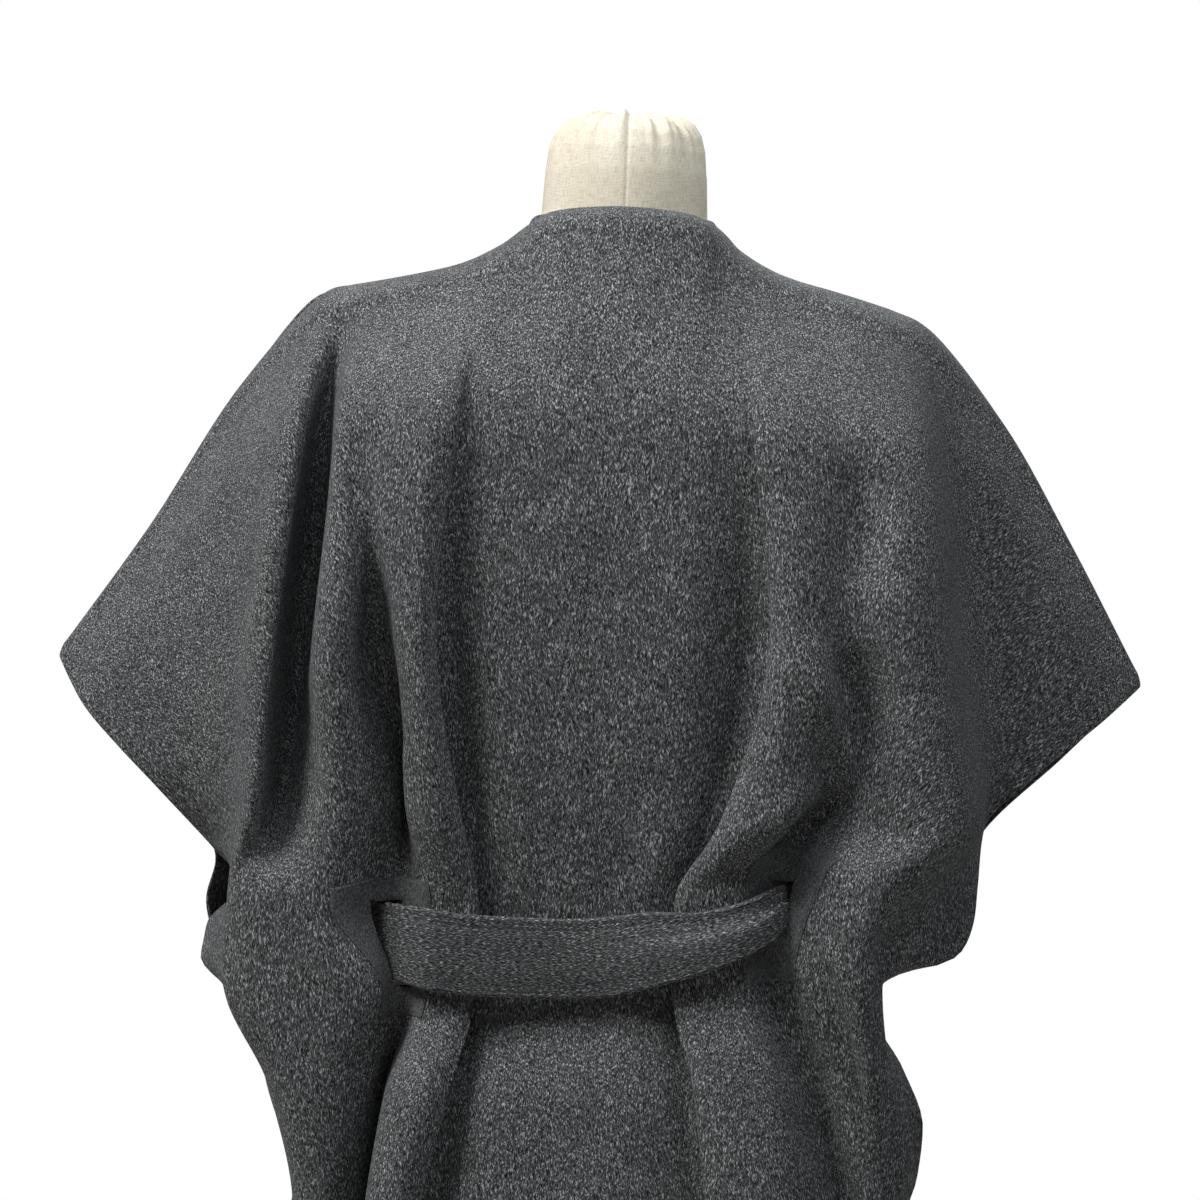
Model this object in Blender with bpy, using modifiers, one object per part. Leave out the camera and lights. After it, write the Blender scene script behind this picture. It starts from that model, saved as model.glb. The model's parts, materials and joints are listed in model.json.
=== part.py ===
"""A belted cape coat without sleeves, in thick double-faced wool, worn by a limbless dress form on a stand.

Metres, +Z up. The origin is on the floor under the stand's post, and the coat's front faces -Y.
Each cloth panel is a smooth surface through its fold lines. A fold line runs down the cloth from the shoulder
seam to the hem, and a table gives where it lies at a few heights. Tables of places are in millimetres.
"""

import math
from collections import namedtuple

import bmesh
import bpy
import numpy as np

MM = 0.001

# Driving sizes
HEM_HEIGHT = 0.42
SIDE_HEM_DROP = 0.035
SIDE_REACH = 0.2
CLOTH = 2.4 * MM
PATCH_CLOTH = 1.0 * MM
PATCH_GAP = 0.7 * MM
BELT_CLOTH = 4.6 * MM
SEAM_GAP = 0.3 * MM
FORM_CLEARANCE = CLOTH / 2 + 2.1 * MM
BASE_RADIUS = 0.19
BASE_HEIGHT = 0.018
BASE_EDGE = 6 * MM
BASE_SLOPE = 4 * MM
BASE_SIDES = 48
HUB_RADIUS = 0.024
HUB_HEIGHT = 0.022
HUB_EDGE = 4 * MM
POST_RADIUS = 0.0125
POST_SIDES = 20

# Below its lowest row in the tables the coat widens towards the hem, by these shares for each metre
HEM_SPREAD_OUT = 0.55
HEM_SPREAD_DEEP = 0.35

# Half heights of the band that the belt presses, of a slit and of the patch round it
BELT_REACH = 26 * MM
SLIT_REACH = 29 * MM
PATCH_REACH = 42 * MM

# Rows of a panel's grid, from the shoulder seam to the hem, and the longest step between its columns
FLAT_STEP = 2 * MM
NECK_SLOPE = 0.7
ROLL_STEPS = 3
ROWS_ABOVE_PATCH = 8
ROWS_BELOW_PATCH = 5
COLUMN_STEP = 34 * MM
HEM_ROWS_SPREAD = 1.3
ROLL_TO_FIRST_STATION = 14 * MM
WING_SHARES = (0.3, 0.65)
ROLL_ROWS = ROLL_STEPS + 1
PATCH_TOP_ROW = ROLL_ROWS + ROWS_ABOVE_PATCH
SLIT_TOP_ROW = PATCH_TOP_ROW + 1
SLIT_BOTTOM_ROW = PATCH_TOP_ROW + 3
PATCH_BOTTOM_ROW = PATCH_TOP_ROW + 4
FORM_SIDES = 36

LEFT, RIGHT = 1, -1
BACK, FRONT = 1, -1

# The dress form, from its foot to the top of its neck
FormRing = namedtuple("FormRing", "height half_width front back squareness")
FORM_RINGS = [
    FormRing(740, 158, 100, 104, 2.2),
    FormRing(800, 164, 97, 110, 2.2),
    FormRing(880, 150, 90, 98, 2.2),
    FormRing(940, 132, 85, 83, 2.1),
    FormRing(1000, 124, 87, 74, 2.1),
    FormRing(1080, 132, 98, 79, 2.1),
    FormRing(1160, 146, 112, 88, 2.2),
    FormRing(1220, 157, 108, 95, 2.3),
    FormRing(1270, 168, 95, 98, 2.4),
    FormRing(1314, 176, 80, 92, 2.4),
    FormRing(1342, 173, 65, 80.7, 2.4),
    FormRing(1357, 160, 54, 68, 2.3),
    FormRing(1369, 138, 49, 62, 2.3),
    FormRing(1379, 106, 47, 58, 2.2),
    FormRing(1391, 78, 47, 54, 2.1),
    FormRing(1403, 61, 49, 52, 2.0),
    FormRing(1420, 54, 49, 50, 2.0),
    FormRing(1455, 53, 49, 49, 2.0),
    FormRing(1472, 51, 47, 47, 2.0),
    FormRing(1481, 45, 41, 41, 2.0),
    FormRing(1485, 34, 31, 31, 2.0),
]

# The line where back and front join: over the shoulder, then down the top of the wing to its corner.
# across is the distance along the cloth from the centre back; roll says how far the cloth runs on, sideways and
# away from the middle, and how far it drops, before it hangs.
TopPoint = namedtuple("TopPoint", "across out back height roll_side roll_run roll_drop")
TOP_LEFT = [
    TopPoint(0, 0, 60, 1419, 0, 17, 16),
    TopPoint(45, 43, 44, 1416.5, 8, 22, 18),
    TopPoint(88, 59, 0, 1411.5, 5, 60, 28),
    TopPoint(112, 78, 0, 1397.5, 0, 58, 22),
    TopPoint(140, 104, 0, 1384, 0, 52, 16),
    TopPoint(180, 142, 0, 1374, 0, 52, 18),
    TopPoint(227, 188, 0, 1363.5, 0, 42, 21),
    TopPoint(260, 214, 0, 1346, 0, 24, 18),
    TopPoint(365, 267, 0, 1255, 0, 10, 8),
    TopPoint(461, 319, 0, 1175, 0, 8, 7),
    TopPoint(523, 352, 0, 1125, 0, 6, 5),
]
TOP_RIGHT = [
    TopPoint(0, 0, 60, 1419, 0, 17, 16),
    TopPoint(45, 43, 44, 1417.5, 8, 22, 18),
    TopPoint(88, 59, 0, 1414, 5, 60, 29),
    TopPoint(112, 76, 0, 1399.5, 0, 58, 23),
    TopPoint(140, 104, 0, 1385, 0, 52, 16),
    TopPoint(180, 143, 0, 1375, 0, 52, 18),
    TopPoint(227, 189, 0, 1361.5, 0, 42, 21),
    TopPoint(260, 217, 0, 1343, 0, 24, 18),
    TopPoint(353, 270, 0, 1266, 0, 10, 8),
    TopPoint(446, 318, 0, 1186, 0, 8, 7),
    TopPoint(503, 346, 0, 1136, 0, 6, 5),
]

# Fold lines from the centre outwards: where each starts on the top line, then (out, deep) at each height.
# deep is how far a back panel's fold line lies behind the middle of the body, or a front panel's before it.
# lean is how much further out a fold line is at the belt's top edge than at its middle.
FOLD_HEIGHTS = {"blade": 1270, "rib": 1150, "high_waist": 1040, "hip": 860, "thigh": 780}
FoldLine = namedtuple("FoldLine", "name across blade rib high_waist belt hip thigh lean", defaults=[0])
BACK_CENTRE = FoldLine("centre", 0, (0, 107), (0, 104), (0, 99), (0, 96), (0, 112), (0, 122))
BACK_LEFT = [
    FoldLine("nape", 40, (35, 108), (34, 106), (33, 100), (30, 96.5), (32, 113), (34, 123)),
    FoldLine("panel", 88, (60, 108), (62, 105), (58, 99), (52, 95.5), (58, 112), (66, 122)),
    FoldLine("root_in", 107, (92, 106), (102, 97), (92, 90), (91, 90), (98, 105), (112, 113)),
    FoldLine("root", 112, (98, 106), (108, 98), (100, 92.5), (98, 93.3), (106, 108.5), (120, 117)),
    FoldLine("root_out", 117, (104, 106.5), (109, 103), (94, 96.5), (91, 97), (99, 112), (113, 121)),
    FoldLine("edge", 126, (110, 108), (103, 110), (84, 106), (72, 101), (82, 119), (97, 129)),
    FoldLine("crest", 142, (124, 108), (115, 124), (98, 118), (88, 104), (102, 130), (115, 142)),
    FoldLine("patch_near", 156, (140, 105), (130, 114), (117, 108), (101, 102), (120, 120), (131, 132)),
    FoldLine("inner_lip", 168, (152, 101), (142, 93), (119, 66), (115, 91), (127, 74), (134, 80), 4),
    FoldLine("outer_lip", 176, (160, 99), (150, 100), (129, 90), (132, 95), (136, 96), (143, 98), 8),
    FoldLine("patch_far", 194, (172, 95), (169, 113), (163, 112), (150, 109), (160, 112), (160, 112), 13),
    FoldLine("valley", 212, (185, 52), (190, 50), (199, 72), (204, 110), (185, 112), (172, 106)),
    FoldLine("ridge", 228, (198, 82), (205, 101), (213, 108), (226, 96), (195, 98), (178, 92)),
]
BACK_RIGHT = [
    FoldLine("nape", 40, (32, 108), (31, 106), (29, 100), (22, 96.5), (26, 113), (28, 123)),
    FoldLine("panel", 88, (56, 108), (56, 105), (50, 99), (38, 95.5), (46, 112), (54, 122)),
    FoldLine("root_in", 99, (81, 106), (96, 97), (84, 91), (69, 90), (81, 105), (93, 113)),
    FoldLine("root", 104, (86, 106), (102, 98), (91, 93.5), (76, 93.3), (88, 108.5), (100, 117)),
    FoldLine("root_out", 109, (92, 106.5), (103, 103), (85, 97), (69, 97), (81, 112), (93, 121)),
    FoldLine("edge", 120, (96, 108), (98, 110), (76, 106), (50, 101), (66, 119), (77, 129)),
    FoldLine("crest", 136, (110, 108), (110, 121), (92, 120), (68, 104), (88, 127), (98, 137)),
    FoldLine("patch_near", 152, (130, 106), (130, 117), (114, 116), (93, 102), (118, 122), (130, 133)),
    FoldLine("inner_lip", 166, (146, 102), (146, 108), (130, 92), (108, 91), (138, 100), (154, 108), 2),
    FoldLine("outer_lip", 174, (156, 101), (155, 109), (144, 92), (122, 95), (150, 92), (166, 96), 3),
    FoldLine("patch_far", 196, (174, 99), (178, 114), (178, 108), (138, 108), (160, 106), (182, 106), 4),
    FoldLine("ridge", 216, (196, 90), (204, 104), (220, 108), (172, 120), (174, 114), (194, 110), 8),
    FoldLine("valley", 236, (212, 50), (224, 48), (234, 78), (192, 104), (188, 98), (203, 92), 14),
]
FRONT_LEFT = [
    FoldLine("edge", 88, (58, 102), (42, 127), (4, 118), (-40, 99), (-42, 116), (-40, 124)),
    FoldLine("breast", 116, (88, 102), (80, 126), (50, 116), (12, 99), (10, 115), (8, 123)),
    FoldLine("root_in", 133, (106, 97), (99, 113), (79, 100), (58, 95), (66, 108), (74, 114)),
    FoldLine("root", 138, (112, 97), (104, 114), (86, 103), (66, 98), (74, 111), (82, 117)),
    FoldLine("root_out", 143, (116, 98), (104, 119), (81, 108), (60, 101), (67, 115), (75, 121)),
    FoldLine("pleat", 150, (118, 99), (102, 124), (76, 114), (44, 103.5), (52, 121), (60, 129)),
    FoldLine("crest", 164, (132, 97), (118, 124), (96, 118), (66, 106), (76, 124), (88, 134)),
    FoldLine("patch_near", 176, (144, 92), (132, 113), (114, 106), (96, 102), (106, 114), (116, 122)),
    FoldLine("inner_lip", 186, (154, 88), (143, 98), (124, 86), (111, 91), (122, 92), (132, 96)),
    FoldLine("outer_lip", 194, (162, 86), (151, 97), (136, 84), (129, 95), (136, 90), (144, 94)),
    FoldLine("patch_far", 210, (176, 82), (168, 104), (160, 98), (158, 104), (156, 106), (158, 108)),
    FoldLine("valley", 224, (190, 50), (194, 56), (196, 64), (194, 86), (176, 92), (172, 94)),
    FoldLine("ridge", 240, (204, 58), (214, 82), (222, 88), (222, 78), (196, 80), (184, 80)),
]
FRONT_RIGHT = [
    FoldLine("edge", 88, (58, 102), (44, 124), (8, 112), (-38, 90.5), (-38, 104), (-36, 112)),
    FoldLine("breast", 116, (86, 102), (78, 125), (50, 112), (14, 91), (12, 104), (10, 112)),
    FoldLine("root_in", 131, (102, 98), (99, 113), (81, 100), (70, 92), (75, 105), (81, 111)),
    FoldLine("root", 136, (108, 98), (104, 115), (88, 103), (78, 95), (82, 108.5), (88, 114.5)),
    FoldLine("root_out", 141, (112, 99), (104, 119), (82, 108), (72, 98.5), (76, 112.5), (82, 119)),
    FoldLine("pleat", 148, (114, 100), (100, 124), (78, 114), (58, 102), (62, 120), (68, 128)),
    FoldLine("crest", 162, (128, 98), (116, 125), (96, 118), (76, 104), (82, 125), (92, 135)),
    FoldLine("patch_near", 176, (142, 94), (132, 113), (114, 106), (96, 102), (106, 114), (116, 122)),
    FoldLine("inner_lip", 186, (153, 90), (144, 98), (124, 86), (111, 91), (122, 92), (132, 96)),
    FoldLine("outer_lip", 194, (161, 88), (152, 97), (136, 84), (129, 95), (134, 90), (143, 94)),
    FoldLine("patch_far", 210, (176, 84), (170, 103), (160, 97), (154, 104), (152, 106), (160, 110)),
    FoldLine("valley", 224, (192, 50), (198, 56), (196, 64), (170, 86), (164, 90), (174, 94)),
    FoldLine("ridge", 240, (206, 58), (216, 80), (216, 84), (180, 74), (174, 78), (186, 78)),
]
# The free side edge of each panel, from under the wing's corner downwards
EdgePoint = namedtuple("EdgePoint", "height out deep")
BACK_LEFT_SIDE = [
    EdgePoint(1104, 342, 18),
    EdgePoint(1090, 332, 26),
    EdgePoint(1067, 309, 36),
    EdgePoint(1041, 281, 42),
    EdgePoint(1001, 243, 30),
    EdgePoint(979, 226, 10),
    EdgePoint(952, 247, 30),
    EdgePoint(936, 247, 52),
    EdgePoint(915, 225, 64),
    EdgePoint(893, 209, 72),
    EdgePoint(856, 199, 70),
    EdgePoint(811, 183, 58),
    EdgePoint(780, 171, 40),
    EdgePoint(690, 188, 22),
    EdgePoint(560, 222, 26),
]
BACK_RIGHT_SIDE = [
    EdgePoint(1108, 320, 24),
    EdgePoint(1068, 274, 32),
    EdgePoint(1036, 246, 32),
    EdgePoint(1000, 242, 44),
    EdgePoint(964, 231, 72),
    EdgePoint(950, 204, 86),
    EdgePoint(936, 177, 84),
    EdgePoint(911, 181, 74),
    EdgePoint(886, 196, 76),
    EdgePoint(850, 210, 78),
    EdgePoint(797, 204, 66),
    EdgePoint(700, 186, 34),
    EdgePoint(560, 216, 24),
]
FRONT_LEFT_SIDE = [
    EdgePoint(1090, 328, 24),
    EdgePoint(1041, 285, 30),
    EdgePoint(990, 249, 24),
    EdgePoint(965, 254, 24),
    EdgePoint(940, 248, 24),
    EdgePoint(890, 211, 34),
    EdgePoint(850, 196, 36),
    EdgePoint(810, 185, 32),
    EdgePoint(780, 188, 28),
    EdgePoint(690, 200, 14),
    EdgePoint(560, 208, 22),
]
FRONT_RIGHT_SIDE = [
    EdgePoint(1083, 302, 16),
    EdgePoint(1031, 252, 22),
    EdgePoint(998, 234, 26),
    EdgePoint(955, 212, 32),
    EdgePoint(925, 180, 36),
    EdgePoint(890, 178, 36),
    EdgePoint(850, 190, 38),
    EdgePoint(797, 194, 30),
    EdgePoint(700, 208, 22),
    EdgePoint(560, 202, 14),
]

# Where the belt is this far from the middle or more, it lies outside the cloth, in millimetres
BELT_OUTSIDE = 85

# The belt's middle line, from the knot round the left side, across the back and round the right side.
# tilt is how much further from the middle of the body its top edge lies.
BeltPoint = namedtuple("BeltPoint", "side back height width tilt", defaults=[0])
BELT = [
    BeltPoint(22, -108, 946, 44),
    BeltPoint(44, -110, 947, 48),
    BeltPoint(68, -111, 948, 50),
    BeltPoint(100, -107, 949, 50),
    BeltPoint(120, -93, 950, 48),
    BeltPoint(133, -77, 951, 46),
    BeltPoint(147, -44, 951, 48),
    BeltPoint(152, 4, 951, 48),
    BeltPoint(148, 46, 951, 46),
    BeltPoint(137, 77, 951, 46, 2),
    BeltPoint(124, 93.5, 951, 48, 3),
    BeltPoint(103, 110, 951, 50),
    BeltPoint(84, 110, 950, 50),
    BeltPoint(58, 108, 949, 50),
    BeltPoint(0, 103, 950, 50),
    BeltPoint(-38, 107, 959, 48),
    BeltPoint(-68, 110, 967, 44),
    BeltPoint(-96, 108, 978, 38),
    BeltPoint(-117, 93, 983, 36),
    BeltPoint(-131, 76, 980, 38),
    BeltPoint(-145, 40, 970, 44),
    BeltPoint(-150, -4, 958, 46),
    BeltPoint(-146, -46, 952, 46),
    BeltPoint(-133, -77, 951, 46),
    BeltPoint(-120, -93, 950, 48),
    BeltPoint(-100, -107, 949, 50),
    BeltPoint(-72, -110, 948, 50),
    BeltPoint(-44, -109, 947, 48),
    BeltPoint(-22, -108, 946, 44),
]
BELT_LINES_ACROSS = 3
BELT_STEP = 16 * MM
TAIL_STEPS = 2
KNOT = (0.0, -0.1158, 0.945)
KNOT_SIZE = (0.046, 0.030, 0.058)
KNOT_WAIST = 0.86

# Where the middle of each hanging end of the belt lies, and how far its inner edge is turned forward
TailPoint = namedtuple("TailPoint", "height side front width turn")
TAIL_LEFT = [
    TailPoint(915.4, 12, 114, 20, 1),
    TailPoint(890, 21, 120, 40, 4),
    TailPoint(840, 27, 129, 49, 5),
    TailPoint(760, 31, 137, 50, 4),
    TailPoint(680, 34, 143, 50, 5),
    TailPoint(610, 36, 149, 50, 6),
]
TAIL_RIGHT = [
    TailPoint(915.4, -12, 114, 20, -1),
    TailPoint(890, -24, 121, 40, -4),
    TailPoint(840, -34, 129, 49, -5),
    TailPoint(760, -41, 136, 50, -4),
    TailPoint(660, -46, 143, 50, -5),
    TailPoint(560, -49, 150, 50, -5),
]


# Smooth curves through the tables


def glide(stations, values, at):
    """Monotone cubic through values at rising stations, read at the places in at."""
    x = np.asarray(stations, float)
    y = np.asarray(values, float)
    y = y.reshape(len(x), -1)
    at = np.clip(np.asarray(at, float), x[0], x[-1])
    step = np.diff(x)
    rise = np.diff(y, axis=0) / step[:, None]
    slope = np.zeros_like(y)
    slope[0], slope[-1] = rise[0], rise[-1]
    same_way = rise[:-1] * rise[1:] > 0
    slope[1:-1] = np.where(same_way, 2 * rise[:-1] * rise[1:] / np.where(same_way, rise[:-1] + rise[1:], 1), 0)
    i = np.clip(np.searchsorted(x, at, "right") - 1, 0, len(x) - 2)
    h = step[i][..., None]
    t = (at - x[i])[..., None] / h
    return (
        (1 + 2 * t) * (1 - t) ** 2 * y[i]
        + t * (1 - t) ** 2 * h * slope[i]
        + t * t * (3 - 2 * t) * y[i + 1]
        + t * t * (t - 1) * h * slope[i + 1]
    )


def curve_through(points, counts):
    """Centripetal Catmull-Rom curve through arrays of points, with counts[k] steps after the k-th."""
    points = [2 * points[0] - points[1], *points, 2 * points[-1] - points[-2]]
    made = []
    for k, count in enumerate(counts):
        p0, p1, p2, p3 = points[k : k + 4]
        d1, d2, d3 = (
            np.maximum(np.linalg.norm(b - a, axis=-1, keepdims=True), 1e-6) ** 0.5
            for a, b in ((p0, p1), (p1, p2), (p2, p3))
        )
        m1 = p2 - p1 + d2 * ((p1 - p0) / d1 - (p2 - p0) / (d1 + d2))
        m2 = p2 - p1 + d2 * ((p3 - p2) / d3 - (p3 - p1) / (d2 + d3))
        for j in range(count):
            t = j / count
            made.append(
                (1 + 2 * t) * (1 - t) ** 2 * p1
                + t * (1 - t) ** 2 * m1
                + t * t * (3 - 2 * t) * p2
                + t * t * (t - 1) * m2
            )
    made.append(points[-2])
    return np.array(made)


# The dress form's shape, which the cloth rests on


def form_field(points):
    """Below 0 inside the form, 0 on it and above 0 outside it."""
    stations = [ring.height * MM for ring in FORM_RINGS]
    sizes = [(ring.half_width * MM, ring.front * MM, ring.back * MM, ring.squareness) for ring in FORM_RINGS]
    half_width, front, back, squareness = (np.interp(points[..., 2], stations, size) for size in zip(*sizes))
    deep = np.where(points[..., 1] > 0, back, front)
    across = np.abs(points[..., 0]) / half_width
    along = np.abs(points[..., 1]) / deep
    return (across**squareness + along**squareness + 1e-9) ** (1 / squareness) - 1


def clear_of_form(points, clearance):
    """The points, with those nearer to the form than clearance moved straight out to it."""
    points = np.array(points, float)
    nudge = 0.5 * MM
    longest_move = 15 * MM
    tries = 6
    beside = (points[..., 2] > FORM_RINGS[0].height * MM) & (points[..., 2] < FORM_RINGS[-1].height * MM)
    for _ in range(tries):
        slope = np.stack(
            [
                (form_field(points + nudge * axis) - form_field(points - nudge * axis)) / (2 * nudge)
                for axis in np.eye(3)
            ],
            axis=-1,
        )
        steepness = np.maximum(np.linalg.norm(slope, axis=-1), 1e-6)
        short = clearance - form_field(points) / steepness
        move = np.where(beside, np.clip(short, 0, longest_move), 0)
        points += slope / steepness[..., None] * move[..., None]
    return points


# The cloth's surface


def belt_height(side, face):
    """Height of the belt's middle line where it lies outside the back or the front, in metres."""
    rows = sorted((row for row in BELT if row.back * face >= BELT_OUTSIDE), key=lambda row: row.side)
    return float(glide([row.side * MM for row in rows], [row.height * MM for row in rows], side)[0])


def read_top(top_line, across):
    """A top point's sizes after its first, at a distance along the cloth, in metres."""
    return glide([row.across for row in top_line], [row[1:] for row in top_line], across) * MM


def roll_over(start, face):
    """(out, deep, height) of the rows from the top line over the shoulder to where the cloth hangs."""
    out, back, height, side, run, drop = start
    turn = np.linspace(0, math.pi / 2, ROLL_STEPS + 1)
    along = np.concatenate([[0], FLAT_STEP + run * np.sin(turn)])
    aside = side / run
    sink = NECK_SLOPE * aside * np.minimum(along, FLAT_STEP)
    heights = height - drop + drop * np.concatenate([[1], np.cos(turn)]) - sink
    return np.stack([out + aside * along, back * face + SEAM_GAP / 2 + along, heights], axis=-1)


def row_heights(top, belt, hem):
    """Heights of a column's rows under the roll, with rows at the ends of patch and slit and at the belt."""
    band = belt + np.array([PATCH_REACH, SLIT_REACH, 0, -SLIT_REACH])
    above = np.linspace(top, band[0], ROWS_ABOVE_PATCH, endpoint=False)
    fall = np.linspace(0, 1, ROWS_BELOW_PATCH + 1) ** HEM_ROWS_SPREAD
    low = belt - PATCH_REACH
    return np.concatenate([above, band, low + (hem - low) * fall])


def column(start, stations, belt, face):
    """(out, deep, height) down a column from a point on the top line, through its stations, to the hem."""
    roll = roll_over(start, face)
    out, deep, top = roll[-1]
    stations = sorted((station for station in stations if station[0] < top - ROLL_TO_FIRST_STATION), reverse=True)
    low_height, low_out, low_deep = stations[-1]
    hem = HEM_HEIGHT - SIDE_HEM_DROP * min(abs(low_out) / SIDE_REACH, 1)
    fall = low_height - hem
    end = (hem, low_out * (1 + HEM_SPREAD_OUT * fall), low_deep * (1 + HEM_SPREAD_DEEP * fall))
    line = [end, *reversed(stations), (top, out, deep)]
    heights = row_heights(top, belt, hem)
    hanging = glide([place[0] for place in line], [place[1:] for place in line], heights)
    return np.concatenate([roll[:-1], np.column_stack([hanging, heights])])


def fold_column(top_line, fold, side, face):
    """The column of one fold line."""
    belt_out, belt_deep = (size * MM for size in fold.belt)
    belt = belt_height(side * belt_out, face)
    stations = [(belt + way * BELT_REACH, belt_out + way * fold.lean * MM, belt_deep) for way in (1, -1)]
    for name, height in FOLD_HEIGHTS.items():
        out, deep = getattr(fold, name)
        stations.append((height * MM, out * MM, deep * MM))
    return column(read_top(top_line, fold.across), stations, belt, face)


def wing_column(top_line, inner, outer, from_across, share, face):
    """A column between the last fold line and the side edge, with its top held to the top line."""
    roll = roll_over(read_top(top_line, from_across + share * (top_line[-1].across - from_across)), face)
    blend = inner * (1 - share) + outer * share
    fade = np.linspace(1, 0, ROWS_ABOVE_PATCH + 1)[:, None]
    blend[ROLL_ROWS : PATCH_TOP_ROW + 1] += fade * (roll[-1] - blend[ROLL_ROWS])
    blend[:ROLL_ROWS] = roll[:-1]
    return blend


def half_panel(top_line, folds, side_edge, side, face):
    """The columns of a panel's half from its first fold line out to its side edge, in world places."""
    columns = [fold_column(top_line, fold, side, face) for fold in folds]
    belt = belt_height(side * folds[-1].belt[0] * MM, face)
    stations = [(place.height * MM, place.out * MM, place.deep * MM) for place in side_edge]
    edge = column(read_top(top_line, top_line[-1].across), stations, belt, face)
    inner = columns[-1]
    for share in WING_SHARES:
        columns.append(wing_column(top_line, inner, edge, folds[-1].across, share, face))
    columns.append(edge)
    return [points * (side, face, 1) for points in columns]


def steps_between(columns, names):
    """How many grid steps follow each column, one at a slit."""
    steps = []
    for name, near, far in zip(names, columns, columns[1:]):
        longest = np.linalg.norm(far - near, axis=-1).max()
        steps.append(1 if name == "slit" else max(1, math.ceil(longest / COLUMN_STEP)))
    return steps


def outward(grid, face):
    """Unit normals of a grid, on its outer side."""
    across = np.gradient(grid, axis=0)
    down = np.gradient(grid, axis=1)
    normal = np.cross(across, down)
    normal /= np.linalg.norm(normal, axis=-1, keepdims=True)
    return normal * np.sign((normal[..., 1] * face).sum() + 1e-9)


Panel = namedtuple("Panel", "grid slits patches")


def half_names(folds):
    return [fold.name for fold in folds] + ["wing"] * (len(WING_SHARES) + 1)


def make_panel(columns, names, face):
    """A panel's grid through its columns, with the grid columns of each slit and of each patch's ends."""
    lips = {"inner_lip", "outer_lip"}
    slit_after = ["slit" if {near, far} == lips else near for near, far in zip(names, names[1:])]
    steps = steps_between(columns, slit_after)
    starts = np.concatenate([[0], np.cumsum(steps)])
    grid = clear_of_form(curve_through(columns, steps), FORM_CLEARANCE)
    seam_rows = SEAM_GAP / 2 + np.array([0, FLAT_STEP])
    grid[:, :2, 1] = face * np.maximum(face * grid[:, :2, 1], seam_rows)
    slits = [int(starts[k]) for k, name in enumerate(slit_after) if name == "slit"]
    ends = [int(starts[k]) for k, name in enumerate(names) if name in ("patch_near", "patch_far")]
    return Panel(grid, slits, list(zip(ends[0::2], ends[1::2])))


def back_panel():
    left = half_panel(TOP_LEFT, BACK_LEFT, BACK_LEFT_SIDE, LEFT, BACK)
    right = half_panel(TOP_RIGHT, BACK_RIGHT, BACK_RIGHT_SIDE, RIGHT, BACK)
    centre = fold_column(TOP_LEFT, BACK_CENTRE, LEFT, BACK) * (LEFT, BACK, 1)
    names = [*reversed(half_names(BACK_RIGHT)), "centre", *half_names(BACK_LEFT)]
    return make_panel([*reversed(right), centre, *left], names, BACK)


def front_panel(top_line, folds, side_edge, side):
    return make_panel(half_panel(top_line, folds, side_edge, side, FRONT), half_names(folds), FRONT)


# Making the objects


def remove_everything():
    for thing in list(bpy.data.objects):
        bpy.data.objects.remove(thing, do_unlink=True)


def make_material(name, colour, roughness, metallic=0.0):
    material = bpy.data.materials.new(name)
    material.use_nodes = True
    shader = material.node_tree.nodes["Principled BSDF"]
    shader.inputs["Base Color"].default_value = (*colour, 1)
    shader.inputs["Roughness"].default_value = roughness
    shader.inputs["Metallic"].default_value = metallic
    material.diffuse_color = (*colour, 1)
    return material


def make_object(name, mesh, collection, material):
    piece = bpy.data.objects.new(name, mesh)
    collection.objects.link(piece)
    mesh.materials.append(material)
    mesh.shade_smooth()
    return piece


def make_wall(name, grid, thickness, collection, material, slits=(), slit_rows=range(0)):
    """A cloth wall of even thickness on a grid of points, open at its slits."""
    count, rows = grid.shape[:2]
    faces = [
        (c * rows + r, c * rows + r + 1, (c + 1) * rows + r + 1, (c + 1) * rows + r)
        for c in range(count - 1)
        for r in range(rows - 1)
        if not (c in slits and r in slit_rows)
    ]
    mesh = bpy.data.meshes.new(name)
    mesh.from_pydata(grid.reshape(-1, 3).tolist(), [], faces)
    piece = make_object(name, mesh, collection, material)
    solidify = piece.modifiers.new("Cloth", "SOLIDIFY")
    solidify.thickness = thickness
    solidify.offset = 0
    return piece


def make_patch(name, panel, which, face, collection, material):
    """A patch round a slit: its panel's own points there, moved out onto the panel."""
    first, last = panel.patches[which]
    lift = CLOTH / 2 + PATCH_GAP + PATCH_CLOTH / 2
    moved = panel.grid + outward(panel.grid, face) * lift
    grid = moved[first : last + 1, PATCH_TOP_ROW : PATCH_BOTTOM_ROW + 1]
    slit_rows = range(SLIT_TOP_ROW - PATCH_TOP_ROW, SLIT_BOTTOM_ROW - PATCH_TOP_ROW)
    make_wall(name, grid, PATCH_CLOTH, collection, material, [panel.slits[which] - first], slit_rows)


def make_strip(name, middles, widths, directions, lines, thickness, collection, material):
    """A band along a line of middles, as wide as widths, spread along directions."""
    shares = np.linspace(-0.5, 0.5, lines)
    grid = np.stack([middles + directions * (widths * share)[:, None] for share in shares], axis=1)
    return make_wall(name, grid, thickness, collection, material)


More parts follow.
